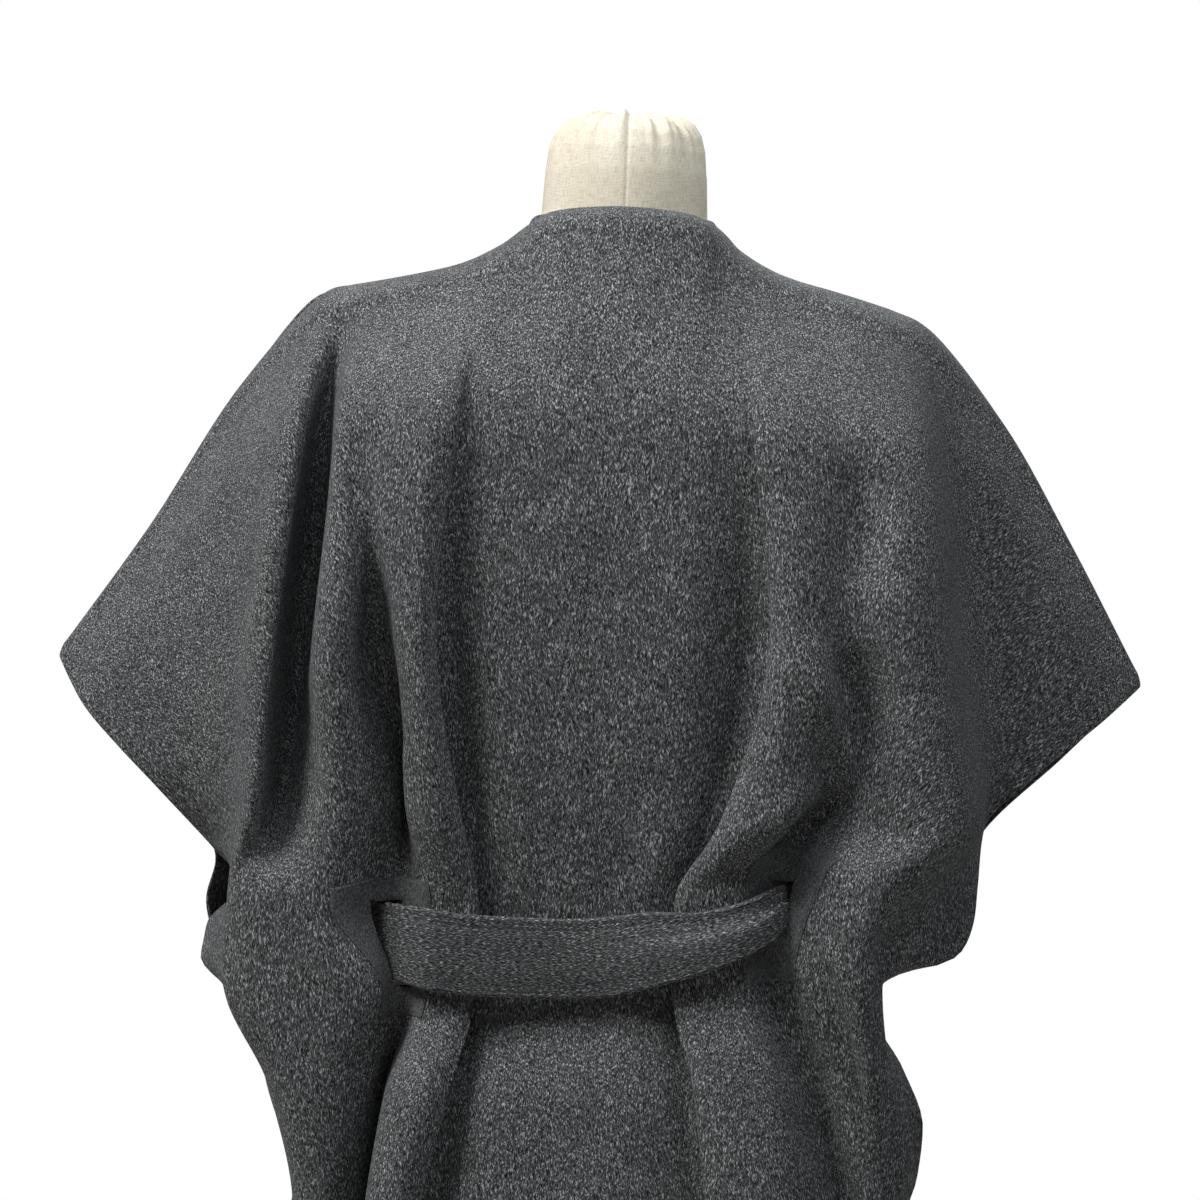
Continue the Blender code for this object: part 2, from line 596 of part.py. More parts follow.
def make_belt(collection, material):
    middles = [np.array([row.side, row.back, row.height]) * MM for row in BELT]
    widths = [row.width * MM for row in BELT]
    steps = [max(2, math.ceil(np.linalg.norm(b - a) / BELT_STEP)) for a, b in zip(middles, middles[1:])]
    line = curve_through(middles, steps)
    width = curve_through([np.array([size]) for size in widths], steps)[:, 0]
    tilt = curve_through([np.array([row.tilt / row.width]) for row in BELT], steps)[:, 0]
    upright = np.stack([np.zeros(len(line)), tilt * 2, np.ones(len(line))], axis=1)
    make_strip("belt", line, width, upright, BELT_LINES_ACROSS, BELT_CLOTH, collection, material)


def make_tail(name, table, collection, material):
    middles = [np.array([row.side, -row.front, row.height]) * MM for row in table]
    edges = [np.array([row.width, -row.turn, 0]) * MM for row in table]
    steps = [TAIL_STEPS] * (len(table) - 1)
    line, spread = curve_through(middles, steps), curve_through(edges, steps)
    make_strip(name, line, np.ones(len(line)), spread, BELT_LINES_ACROSS, BELT_CLOTH, collection, material)


def make_knot(collection, material):
    """The knot of the belt: a soft upright block, pinched at its waist."""
    work = bmesh.new()
    bmesh.ops.create_cube(work, size=1)
    bmesh.ops.subdivide_edges(work, edges=work.edges[:], cuts=2, use_grid_fill=True)
    for corner in work.verts:
        pinch = KNOT_WAIST + (1 - KNOT_WAIST) * abs(corner.co.z) * 2
        corner.co.x *= KNOT_SIZE[0] * pinch
        corner.co.y *= KNOT_SIZE[1]
        corner.co.z *= KNOT_SIZE[2]
    mesh = bpy.data.meshes.new("belt_knot")
    work.to_mesh(mesh)
    work.free()
    knot = make_object("belt_knot", mesh, collection, material)
    knot.location = KNOT
    soft = knot.modifiers.new("Soft", "SUBSURF")
    soft.levels = 1
    soft.render_levels = 1


def make_form(collection, material):
    """The form's body: closed rings of its sections, joined by faces and capped."""
    around = np.linspace(0, 2 * math.pi, FORM_SIDES, endpoint=False)
    work = bmesh.new()
    rings = []
    for row in FORM_RINGS:
        power = 2 / row.squareness
        ring = []
        for angle in around:
            c, s = math.cos(angle), math.sin(angle)
            deep = row.back if s > 0 else row.front
            x = row.half_width * math.copysign(abs(c) ** power, c)
            y = deep * math.copysign(abs(s) ** power, s)
            ring.append(work.verts.new((x * MM, y * MM, row.height * MM)))
        rings.append(ring)
    for low, high in zip(rings, rings[1:]):
        for k in range(FORM_SIDES):
            after = (k + 1) % FORM_SIDES
            work.faces.new((low[k], low[after], high[after], high[k]))
    work.faces.new(reversed(rings[0]))
    work.faces.new(rings[-1])
    mesh = bpy.data.meshes.new("form_body")
    work.to_mesh(mesh)
    work.free()
    make_object("form_body", mesh, collection, material)


def make_turned(name, profile, collection, material, sides):
    """A turned piece from a profile of (radius, height) pairs, from the top of its outside to its foot."""
    mesh = bpy.data.meshes.new(name)
    edges = [(k, k + 1) for k in range(len(profile) - 1)]
    mesh.from_pydata([(radius, 0, height) for radius, height in profile], edges, [])
    piece = make_object(name, mesh, collection, material)
    screw = piece.modifiers.new("Turn", "SCREW")
    screw.steps = sides
    screw.render_steps = sides
    screw.use_merge_vertices = True
    screw.merge_threshold = 0.01 * MM


def make_stand(collection, material):
    hub_top = BASE_HEIGHT + HUB_HEIGHT
    base = [
        (0, hub_top),
        (HUB_RADIUS - HUB_EDGE, hub_top),
        (HUB_RADIUS, hub_top - HUB_EDGE),
        (HUB_RADIUS + HUB_EDGE, BASE_HEIGHT),
        (BASE_RADIUS - BASE_EDGE, BASE_HEIGHT - BASE_SLOPE),
        (BASE_RADIUS, BASE_HEIGHT - BASE_SLOPE - BASE_EDGE),
        (BASE_RADIUS, 0),
        (0, 0),
    ]
    make_turned("form_base", base, collection, material, BASE_SIDES)
    low = hub_top + SEAM_GAP
    high = FORM_RINGS[0].height * MM - SEAM_GAP
    post = [(0, high), (POST_RADIUS, high), (POST_RADIUS, low), (0, low)]
    make_turned("form_post", post, collection, material, POST_SIDES)


def main():
    remove_everything()
    coat = bpy.data.collections.new("belted_cape_coat")
    bpy.context.scene.collection.children.link(coat)
    wool = make_material("charcoal_wool", (0.075, 0.078, 0.085), 0.95)
    facing = make_material("smooth_grey_wool", (0.10, 0.105, 0.115), 0.85)
    linen = make_material("natural_linen", (0.66, 0.63, 0.57), 0.9)
    metal = make_material("grey_painted_steel", (0.55, 0.55, 0.54), 0.4, 0.1)

    slit_rows = range(SLIT_TOP_ROW, SLIT_BOTTOM_ROW)
    back = back_panel()
    front_left = front_panel(TOP_LEFT, FRONT_LEFT, FRONT_LEFT_SIDE, LEFT)
    front_right = front_panel(TOP_RIGHT, FRONT_RIGHT, FRONT_RIGHT_SIDE, RIGHT)
    make_wall("back", back.grid, CLOTH, coat, wool, back.slits, slit_rows)
    make_wall("front_left", front_left.grid, CLOTH, coat, wool, front_left.slits, slit_rows)
    make_wall("front_right", front_right.grid, CLOTH, coat, wool, front_right.slits, slit_rows)
    make_patch("patch_back_right", back, 0, BACK, coat, facing)
    make_patch("patch_back_left", back, 1, BACK, coat, facing)
    make_patch("patch_front_left", front_left, 0, FRONT, coat, facing)
    make_patch("patch_front_right", front_right, 0, FRONT, coat, facing)
    make_belt(coat, wool)
    make_knot(coat, wool)
    make_tail("belt_tail_left", TAIL_LEFT, coat, wool)
    make_tail("belt_tail_right", TAIL_RIGHT, coat, wool)
    make_form(coat, linen)
    make_stand(coat, metal)


main()
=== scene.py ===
import json
import math
from collections import namedtuple

import bpy
import numpy as np
from mathutils import Matrix, Vector

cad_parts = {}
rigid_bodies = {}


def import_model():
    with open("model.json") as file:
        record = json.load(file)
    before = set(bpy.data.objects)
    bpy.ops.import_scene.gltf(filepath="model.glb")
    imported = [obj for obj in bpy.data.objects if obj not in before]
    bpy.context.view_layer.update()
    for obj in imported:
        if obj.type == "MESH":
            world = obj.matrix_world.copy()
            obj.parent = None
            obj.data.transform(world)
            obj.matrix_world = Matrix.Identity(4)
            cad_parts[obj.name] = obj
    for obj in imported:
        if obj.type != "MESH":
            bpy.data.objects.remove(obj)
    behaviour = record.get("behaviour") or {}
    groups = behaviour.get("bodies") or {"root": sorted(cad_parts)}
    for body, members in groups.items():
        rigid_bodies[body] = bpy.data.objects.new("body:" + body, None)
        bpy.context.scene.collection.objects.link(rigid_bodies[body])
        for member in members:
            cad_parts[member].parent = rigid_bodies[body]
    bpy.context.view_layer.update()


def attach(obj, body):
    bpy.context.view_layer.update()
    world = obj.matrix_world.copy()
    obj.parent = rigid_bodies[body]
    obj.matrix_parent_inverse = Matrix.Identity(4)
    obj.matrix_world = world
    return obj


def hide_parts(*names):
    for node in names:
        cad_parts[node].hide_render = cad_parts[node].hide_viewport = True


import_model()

mm = 0.001
leftSide, rightSide = 1, -1
backFace, frontFace = 1, -1

# How the coat is cut and how finely its cloth is made. Sizes are in metres, rows and steps are counts.
coat = {
    "hemHeight": 0.42,
    "sideHemDrop": 0.035,
    "cloth": 0.0024,
    "formClearance": 0.0033,
    "seamGap": 0.0003,
    "hemSpreadOut": 0.55,
    "hemSpreadDeep": 0.35,
    "beltReach": 0.026,
    "slitReach": 0.029,
    "patchReach": 0.042,
    "flatStep": 0.002,
    "neckSlope": 0.7,
    "rollSteps": 9,
    "rowsAbove": 58,
    "bandRows": (4, 7, 7, 4),
    # the first and last row that each slit runs down, in the back the right one and then the left one
    "backSlitRows": ((2, 10), (0, 13)),
    "frontSlitRows": ((0, 14),),
    "rowsBelow": 62,
    "belowPower": 1.3,
    "columnStep": 0.0062,
    "fewestSteps": 3,
    "wingShares": (0.3, 0.65),
    "cornerRadius": 0.013,
    "sideHemFull": 0.2,  # this far from the middle the hem has its whole side drop
    "topClear": 0.014,  # a fold line starts to hang this far under the top
    "creaseInto": 0.001,  # how much of its clearance a crease may use up
    "creaseEnds": 0.02,
    "creaseTaper": 0.7,
    "clearSteps": 6,
    "clearMove": 0.015,
}
rollRows = coat["rollSteps"] + 1
patchTopRow = rollRows + coat["rowsAbove"]
slitTopRow = patchTopRow + coat["bandRows"][0]
slitBottomRow = slitTopRow + coat["bandRows"][1] + coat["bandRows"][2]
patchBottomRow = slitBottomRow + coat["bandRows"][3]

# Tables of places are in millimetres
# The dress form, from its foot to the top of its neck
formRing = namedtuple("formRing", "height halfWidth front back squareness")
formRings = [formRing(*row) for row in (
    (740, 158, 100, 104, 2.2), (800, 164, 97, 110, 2.2), (880, 150, 90, 98, 2.2), (940, 132, 85, 83, 2.1),
    (1000, 124, 87, 74, 2.1), (1080, 132, 98, 79, 2.1), (1160, 146, 112, 88, 2.2),
    (1220, 157, 108, 95, 2.3), (1270, 168, 95, 98, 2.4), (1314, 176, 80, 92, 2.4),
    (1342, 173, 65, 80.7, 2.4), (1357, 160, 54, 68, 2.3), (1369, 138, 49, 62, 2.3),
    (1379, 106, 47, 58, 2.2), (1391, 78, 47, 54, 2.1), (1403, 61, 49, 52, 2.0), (1420, 54, 49, 50, 2.0),
    (1447, 52.6, 49, 49, 2.0), (1462, 50.6, 47, 47, 2.0), (1472, 47.4, 44, 44, 2.0),
    (1479, 42.4, 39, 39, 2.0), (1483, 36, 33, 33, 2.0), (1485, 28, 26, 26, 2.0),
)]

# The line where back and front join: over the shoulder, then down the top of the wing to its corner.
# across is the distance along the cloth from the centre back; roll says how far the cloth runs on, sideways and
# away from the middle, and how far it drops, before it hangs.
topPoint = namedtuple("topPoint", "across out back height rollSide rollRun rollDrop")
topLeft = [topPoint(*row) for row in (
    (0, 0, 60, 1419, 0, 17, 16), (45, 43, 44, 1416.5, 8, 22, 18), (88, 59, 0, 1411.5, 5, 60, 28),
    (112, 78, 0, 1397.5, 0, 58, 22), (140, 104, 0, 1384, 0, 52, 16), (180, 142, 0, 1374, 0, 52, 18),
    (227, 188, 0, 1363.5, 0, 42, 21), (260, 214, 0, 1346, 0, 24, 18), (365, 267, 0, 1255, 0, 10, 8),
    (461, 319, 0, 1175, 0, 8, 7), (523, 352, 0, 1125, 0, 6, 5),
)]
topRight = [topPoint(*row) for row in (
    (0, 0, 60, 1419, 0, 17, 16), (45, 43, 44, 1417.5, 8, 22, 18), (88, 59, 0, 1414, 5, 60, 29),
    (112, 76, 0, 1399.5, 0, 58, 23), (140, 104, 0, 1385, 0, 52, 16), (180, 143, 0, 1375, 0, 52, 18),
    (227, 189, 0, 1361.5, 0, 42, 21), (260, 217, 0, 1343, 0, 24, 18), (353, 270, 0, 1266, 0, 10, 8),
    (446, 318, 0, 1186, 0, 8, 7), (503, 346, 0, 1136, 0, 6, 5),
)]

# Fold lines from the centre outwards: where each starts on the top line, then (out, deep) at each height.
# deep is how far a back panel's fold line lies behind the middle of the body, or a front panel's before it.
# lean is how much further out a fold line is at the belt's top edge than at its middle.
foldHeights = {"blade": 1270, "rib": 1150, "highWaist": 1040, "hip": 860, "thigh": 780}
foldLine = namedtuple("foldLine", "name across blade rib highWaist belt hip thigh lean", defaults=[0])
backCentre = foldLine("centre", 0, (0, 107), (0, 104), (0, 99), (0, 96), (0, 112), (0, 122))
backLeft = [foldLine(*row) for row in (
    ("nape", 40, (35, 108), (34, 106), (33, 100), (30, 96.5), (32, 113), (34, 123)),
    ("panel", 88, (60, 108), (62, 105), (58, 99), (52, 95.5), (58, 112), (66, 122)),
    ("rootIn", 107, (92, 105), (102, 97), (92, 90), (91, 90), (98, 105), (112, 113)),
    ("root", 112, (98, 105.5), (108, 98), (100, 92.5), (98, 93.3), (106, 108.5), (120, 117)),
    ("rootOut", 117, (100, 108), (109, 103), (94, 96.5), (91, 97), (99, 112), (113, 121)),
    ("edge", 126, (99, 112), (103, 110), (84, 106), (72, 101), (82, 119), (97, 129)),
    ("lip", 130, (104, 114.5), (106, 115.5), (87.5, 111.5), (75, 103), (86, 125), (101, 135)),
    ("crest", 142, (117, 114), (115, 124), (98, 118), (88, 104), (102, 130), (115, 142)),
    ("patchNear", 156, (140, 105), (130, 114), (117, 108), (101, 102), (120, 120), (131, 132)),
    ("innerLip", 168, (152, 101), (142, 93), (119, 66), (115, 91), (127, 74), (134, 80), 4),
    ("outerLip", 176, (160, 99), (150, 100), (129, 90), (132, 95), (136, 96), (143, 98), 8),
    ("patchFar", 194, (172, 95), (169, 113), (163, 112), (150, 109), (160, 112), (160, 112), 13),
    ("valley", 212, (185, 52), (190, 50), (199, 72), (204, 110), (185, 112), (172, 106)),
    ("ridge", 228, (198, 82), (205, 101), (213, 108), (226, 96), (195, 98), (178, 92)),
)]
backRight = [foldLine(*row) for row in (
    ("nape", 40, (32, 108), (31, 106), (29, 100), (22, 96.5), (26, 113), (28, 123)),
    ("panel", 88, (56, 108), (56, 105), (50, 99), (38, 95.5), (46, 112), (54, 122)),
    ("rootIn", 99, (81, 106), (96, 97), (84, 91), (69, 90), (81, 105), (93, 113)),
    ("root", 104, (86, 106), (102, 98), (91, 93.5), (76, 93.3), (88, 108.5), (100, 117)),
    ("rootOut", 109, (88, 108), (103, 103), (85, 97), (69, 97), (81, 112), (93, 121)),
    ("edge", 120, (86, 112), (98, 110), (76, 106), (50, 101), (66, 119), (77, 129)),
    ("lip", 124, (91, 114.5), (100.5, 115), (79, 111), (54, 103), (70, 124.5), (81, 134)),
    ("crest", 136, (104, 114), (110, 121), (92, 120), (68, 104), (88, 127), (98, 137)),
    ("patchNear", 152, (130, 106), (130, 117), (114, 116), (93, 102), (118, 122), (130, 133)),
    ("innerLip", 166, (146, 102), (146, 108), (130, 92), (108, 91), (138, 100), (154, 108), 2),
    ("outerLip", 174, (156, 101), (155, 109), (144, 92), (122, 95), (150, 92), (166, 96), 3),
    ("patchFar", 196, (174, 99), (178, 114), (178, 108), (138, 108), (160, 106), (182, 106), 4),
    ("ridge", 216, (196, 90), (204, 104), (220, 108), (172, 120), (174, 114), (194, 110), 8),
    ("valley", 236, (219, 52), (231, 50), (239, 77), (192, 104), (188, 98), (203, 92), 14),
)]
frontLeft = [foldLine(*row) for row in (
    ("edge", 88, (58, 102), (42, 127), (4, 118), (-40, 99), (-42, 116), (-40, 124)),
    ("breast", 116, (88, 102), (80, 126), (50, 116), (12, 99), (10, 115), (8, 123)),
    ("rootIn", 133, (106, 97), (99, 113), (79, 100), (58, 95), (66, 108), (74, 114)),
    ("root", 138, (112, 97), (104, 114), (86, 103), (66, 98), (74, 111), (82, 117)),
    ("rootOut", 143, (116, 98), (104, 119), (81, 108), (60, 101), (67, 115), (75, 121)),
    ("pleat", 150, (118, 99), (102, 124), (76, 114), (44, 103.5), (52, 121), (60, 129)),
    ("crest", 164, (132, 97), (118, 124), (96, 118), (66, 106), (76, 124), (88, 134)),
    ("patchNear", 176, (144, 92), (132, 113), (114, 106), (96, 102), (106, 114), (116, 122)),
    ("innerLip", 186, (154, 88), (143, 98), (124, 86), (111, 91), (122, 92), (132, 96)),
    ("outerLip", 194, (162, 86), (151, 97), (136, 84), (129, 95), (136, 90), (144, 94)),
    ("patchFar", 210, (176, 82), (168, 104), (160, 98), (158, 104), (156, 106), (158, 108)),
    ("valley", 224, (190, 50), (194, 56), (196, 64), (194, 86), (176, 92), (172, 94)),
    ("ridge", 240, (204, 58), (214, 82), (222, 88), (222, 78), (196, 80), (184, 80)),
)]
frontRight = [foldLine(*row) for row in (
    ("edge", 88, (58, 102), (44, 124), (8, 112), (-38, 90.5), (-38, 104), (-36, 112)),
    ("breast", 116, (86, 102), (78, 125), (50, 112), (14, 91), (12, 104), (10, 112)),
    ("rootIn", 131, (102, 98), (99, 113), (81, 100), (70, 92), (75, 105), (81, 111)),
    ("root", 136, (108, 98), (104, 115), (88, 103), (78, 95), (82, 108.5), (88, 114.5)),
    ("rootOut", 141, (112, 99), (104, 119), (82, 108), (72, 98.5), (76, 112.5), (82, 119)),
    ("pleat", 148, (114, 100), (100, 124), (78, 114), (58, 102), (62, 120), (68, 128)),
    ("crest", 162, (128, 98), (116, 125), (96, 118), (76, 104), (82, 125), (92, 135)),
    ("patchNear", 176, (142, 94), (132, 113), (114, 106), (96, 102), (106, 114), (116, 122)),
    ("innerLip", 186, (153, 90), (144, 98), (124, 86), (111, 91), (122, 92), (132, 96)),
    ("outerLip", 194, (161, 88), (152, 97), (136, 84), (129, 95), (134, 90), (143, 94)),
    ("patchFar", 210, (176, 84), (170, 103), (160, 97), (154, 104), (152, 106), (160, 110)),
    ("valley", 224, (192, 50), (198, 56), (196, 64), (170, 86), (164, 90), (174, 94)),
    ("ridge", 240, (206, 58), (216, 80), (216, 84), (180, 74), (174, 78), (186, 78)),
)]
# The free side edge of each panel, from under the wing's corner downwards
edgePoint = namedtuple("edgePoint", "height out deep")
backLeftSide = [edgePoint(*row) for row in (
    (1104, 342, 18), (1090, 332, 26), (1067, 309, 36), (1041, 281, 42), (1001, 243, 30), (979, 226, 10),
    (952, 247, 30), (936, 247, 52), (915, 225, 64), (893, 209, 72), (856, 199, 70), (811, 183, 58),
    (780, 171, 40), (690, 188, 22), (560, 222, 26),
)]
backRightSide = [edgePoint(*row) for row in (
    (1108, 320, 24), (1068, 274, 32), (1036, 246, 32), (1000, 242, 44), (982, 239, 60), (966, 233, 72),
    (956, 222, 81), (951, 201, 86), (945, 186, 86), (936, 177, 84), (911, 181, 74), (886, 196, 76),
    (850, 210, 78), (797, 204, 66), (700, 186, 34), (560, 216, 24),
)]
frontLeftSide = [edgePoint(*row) for row in (
    (1090, 328, 24), (1041, 285, 30), (990, 249, 24), (965, 254, 24), (940, 248, 24), (890, 211, 34),
    (850, 196, 36), (810, 185, 32), (780, 188, 28), (690, 200, 14), (560, 208, 22),
)]
frontRightSide = [edgePoint(*row) for row in (
    (1083, 302, 16), (1031, 252, 22), (998, 234, 26), (955, 212, 32), (925, 180, 36), (890, 178, 36),
    (850, 190, 38), (797, 194, 30), (700, 208, 22), (560, 202, 14),
)]

# Where the belt is this far from the middle or more, it lies outside the cloth, in millimetres
beltOutside = 85

# The belt's middle line, from the knot round the left side, across the back and round the right side.
# tilt is how much further from the middle of the body its top edge lies.
# lean is how much further out its top edge is than its lower one, rise how far the cloth lies above the solid's
# middle line, narrow how much of its width is turned under, and fold how far it creases lengthwise, from 0 to 1.
beltPoint = namedtuple("beltPoint", "side back height width tilt lean rise narrow fold", defaults=[0] * 5)
beltLine = [beltPoint(*row) for row in (
    (22, -108, 946, 44), (44, -110, 947, 48), (68, -111, 948, 50), (100, -107, 949, 50),
    (120, -93, 950, 48), (133, -77, 951, 46), (147, -44, 951, 48), (152, 4, 951, 48),
    (148, 46, 951, 46, 0, 8, 4), (137, 77, 951, 46, 2, 15, 5), (124, 93.5, 951, 48, 3, 15, 3),
    (103, 110, 951, 50, 0, 9, 1), (84, 110, 950, 50, 0, 3), (58, 108, 949, 50), (0, 103, 950, 50),
    (-38, 107, 959, 48, 0, 0, -1, 2, 0.5), (-68, 110, 967, 44, 0, 0, -3, 7, 1),
    (-96, 108, 978, 38, 0, 0, -3, 7, 1), (-117, 93, 983, 36, 0, 0, 4, 10, 0.8),
    (-131, 76, 980, 38, 0, 0, 6, 8, 0.4), (-145, 40, 970, 44), (-150, -4, 958, 46), (-146, -46, 952, 46),
    (-133, -77, 951, 46), (-120, -93, 950, 48), (-100, -107, 949, 50), (-72, -110, 948, 50),
    (-44, -109, 947, 48), (-22, -108, 946, 44),
)]

# Where the middle of each hanging end of the belt lies, and how far its inner edge is turned forward
tailPoint = namedtuple("tailPoint", "height side front width turn")
tailLeft = [tailPoint(*row) for row in (
    (915.4, 12, 114, 20, 1), (890, 21, 120, 40, 4), (840, 27, 129, 49, 5), (760, 31, 137, 50, 4),
    (680, 34, 143, 50, 5), (610, 36, 149, 50, 6),
)]
tailRight = [tailPoint(*row) for row in (
    (915.4, -12, 114, 20, -1), (890, -24, 121, 40, -4), (840, -34, 129, 49, -5), (760, -41, 136, 50, -4),
    (660, -46, 143, 50, -5), (560, -49, 150, 50, -5),
)]


# Smooth curves through the tables


def glide(stations, values, at):
    x = np.asarray(stations, float)
    y = np.asarray(values, float).reshape(len(x), -1)
    at = np.clip(np.asarray(at, float), x[0], x[-1])
    step = np.diff(x)
    rise = np.diff(y, axis=0) / step[:, None]
    slope = np.zeros_like(y)
    slope[0], slope[-1] = rise[0], rise[-1]
    sameWay = rise[:-1] * rise[1:] > 0
    total = np.where(sameWay, rise[:-1] + rise[1:], 1)
    slope[1:-1] = np.where(sameWay, 2 * rise[:-1] * rise[1:] / total, 0)
    i = np.clip(np.searchsorted(x, at, "right") - 1, 0, len(x) - 2)
    h = step[i][..., None]
    t = (at - x[i])[..., None] / h
    return (
        (1 + 2 * t) * (1 - t) ** 2 * y[i]
        + t * (1 - t) ** 2 * h * slope[i]
        + t * t * (3 - 2 * t) * y[i + 1]
        + t * t * (t - 1) * h * slope[i + 1]
    )


def curveThrough(points, counts):
    points = [2 * points[0] - points[1], *points, 2 * points[-1] - points[-2]]
    made = []
    for k, count in enumerate(counts):
        p0, p1, p2, p3 = points[k : k + 4]
        d1, d2, d3 = (
            np.maximum(np.linalg.norm(b - a, axis=-1, keepdims=True), 1e-6) ** 0.5
            for a, b in ((p0, p1), (p1, p2), (p2, p3))
        )
        m1 = p2 - p1 + d2 * ((p1 - p0) / d1 - (p2 - p0) / (d1 + d2))
        m2 = p2 - p1 + d2 * ((p3 - p2) / d3 - (p3 - p1) / (d2 + d3))
        for j in range(count):
            t = j / count
            made.append(
                (1 + 2 * t) * (1 - t) ** 2 * p1
                + t * (1 - t) ** 2 * m1
                + t * t * (3 - 2 * t) * p2
                + t * t * (t - 1) * m2
            )
    made.append(points[-2])
    return np.array(made)


def smoothStep(value, low, high):
    t = np.clip((value - low) / (high - low), 0, 1)
    return t * t * (3 - 2 * t)


# The form that the cloth rests on


def formField(points):
    stations = [ring.height * mm for ring in formRings]
    sizes = [(ring.halfWidth * mm, ring.front * mm, ring.back * mm, ring.squareness) for ring in formRings]
    halfWidth, front, back, squareness = (np.interp(points[..., 2], stations, size) for size in zip(*sizes))
    deep = np.where(points[..., 1] > 0, back, front)
    across = np.abs(points[..., 0]) / halfWidth
    along = np.abs(points[..., 1]) / deep
    return (across**squareness + along**squareness + 1e-9) ** (1 / squareness) - 1


def clearOfForm(points, clearance):
    points = np.array(points, float)
    nudge = 0.5 * mm
    beside = (points[..., 2] > formRings[0].height * mm) & (points[..., 2] < formRings[-1].height * mm)
    for _ in range(coat["clearSteps"]):
        slope = np.stack(
            [
                (formField(points + nudge * axis) - formField(points - nudge * axis)) / (2 * nudge)
                for axis in np.eye(3)
            ],
            axis=-1,
        )
        steepness = np.maximum(np.linalg.norm(slope, axis=-1), 1e-6)
        short = clearance - formField(points) / steepness
        move = np.where(beside, np.clip(short, 0, coat["clearMove"]), 0)
        points += slope / steepness[..., None] * move[..., None]
    return points


# The cloth's surface


def beltHeight(side, face):
    rows = sorted((row for row in beltLine if row.back * face >= beltOutside), key=lambda row: row.side)
    return float(glide([row.side * mm for row in rows], [row.height * mm for row in rows], side)[0])


def readTop(topLine, across):
    return glide([row.across for row in topLine], [row[1:] for row in topLine], across) * mm


def rollOver(start, face):
    out, deep, height, side, run, drop = start
    turn = np.linspace(0, math.pi / 2, coat["rollSteps"] + 1)
    along = np.concatenate([[0], coat["flatStep"] + run * np.sin(turn)])
    aside = side / run
    sink = coat["neckSlope"] * aside * np.minimum(along, coat["flatStep"])
    heights = height - drop + drop * np.concatenate([[1], np.cos(turn)]) - sink
    return np.stack([out + aside * along, deep * face + coat["seamGap"] / 2 + along, heights], axis=-1)


def rowHeights(top, belt, hem):
    patch, slit = coat["patchReach"], coat["slitReach"]
    marks = belt + np.array([patch, slit, 0, -slit, -patch])
    heights = [np.linspace(top, marks[0], coat["rowsAbove"], endpoint=False)]
    for high, low, rows in zip(marks, marks[1:], coat["bandRows"]):
        heights.append(np.linspace(high, low, rows, endpoint=False))
    fall = np.linspace(0, 1, coat["rowsBelow"] + 1) ** coat["belowPower"]
    heights.append(marks[-1] + (hem - marks[-1]) * fall)
    return np.concatenate(heights)


def column(start, stations, belt, face):
    roll = rollOver(start, face)
    out, deep, top = roll[-1]
    stations = sorted((station for station in stations if station[0] < top - coat["topClear"]), reverse=True)
    lowHeight, lowOut, lowDeep = stations[-1]
    hem = coat["hemHeight"] - coat["sideHemDrop"] * min(abs(lowOut) / coat["sideHemFull"], 1)
    fall = lowHeight - hem
    end = (hem, lowOut * (1 + coat["hemSpreadOut"] * fall), lowDeep * (1 + coat["hemSpreadDeep"] * fall))
    line = [end, *reversed(stations), (top, out, deep)]
    heights = rowHeights(top, belt, hem)
    hanging = glide([place[0] for place in line], [place[1:] for place in line], heights)
    return np.concatenate([roll[:-1], np.column_stack([hanging, heights])])


def foldColumn(topLine, fold, side, face):
    beltOut, beltDeep = (size * mm for size in fold.belt)
    belt = beltHeight(side * beltOut, face)
    reach = coat["beltReach"]
    stations = [(belt + way * reach, beltOut + way * fold.lean * mm, beltDeep) for way in (1, -1)]
    for name, height in foldHeights.items():
        out, deep = getattr(fold, name)
        stations.append((height * mm, out * mm, deep * mm))
    return column(readTop(topLine, fold.across), stations, belt, face)


def wingColumn(topLine, inner, outer, fromAcross, share, face):
    roll = rollOver(readTop(topLine, fromAcross + share * (topLine[-1].across - fromAcross)), face)
    blend = inner * (1 - share) + outer * share
    fade = np.linspace(1, 0, coat["rowsAbove"] + 1)[:, None]
    blend[rollRows : patchTopRow + 1] += fade * (roll[-1] - blend[rollRows])
    blend[:rollRows] = roll[:-1]
    return blend


def halfPanel(topLine, folds, sideEdge, side, face):
    columns = [foldColumn(topLine, fold, side, face) for fold in folds]
    belt = beltHeight(side * folds[-1].belt[0] * mm, face)
    stations = [(place.height * mm, place.out * mm, place.deep * mm) for place in sideEdge]
    edge = column(readTop(topLine, topLine[-1].across), stations, belt, face)
    inner = columns[-1]
    for share in coat["wingShares"]:
        columns.append(wingColumn(topLine, inner, edge, folds[-1].across, share, face))
    columns.append(edge)
    return [points * (side, face, 1) for points in columns]


def outward(grid, face):
    normal = np.cross(np.gradient(grid, axis=0), np.gradient(grid, axis=1))
    normal = unit(normal)
    return normal * np.sign((normal[..., 1] * face).sum() + 1e-9)


def alongCloth(grid, start):
    # Distances along the cloth: across from the column start, and down from the first row
    across = np.linalg.norm(np.diff(grid, axis=0), axis=-1)
    down = np.linalg.norm(np.diff(grid, axis=1), axis=-1)
    u = np.concatenate([np.zeros((1, grid.shape[1])), np.cumsum(across, axis=0)])
    v = np.concatenate([np.zeros((grid.shape[0], 1)), np.cumsum(down, axis=1)], axis=1)
    return u - u[start], v


panel = namedtuple("panel", "grid normal uv holes patches face")


def nameHalf(folds):
    return [fold.name for fold in folds] + ["wing"] * (len(coat["wingShares"]) + 1)


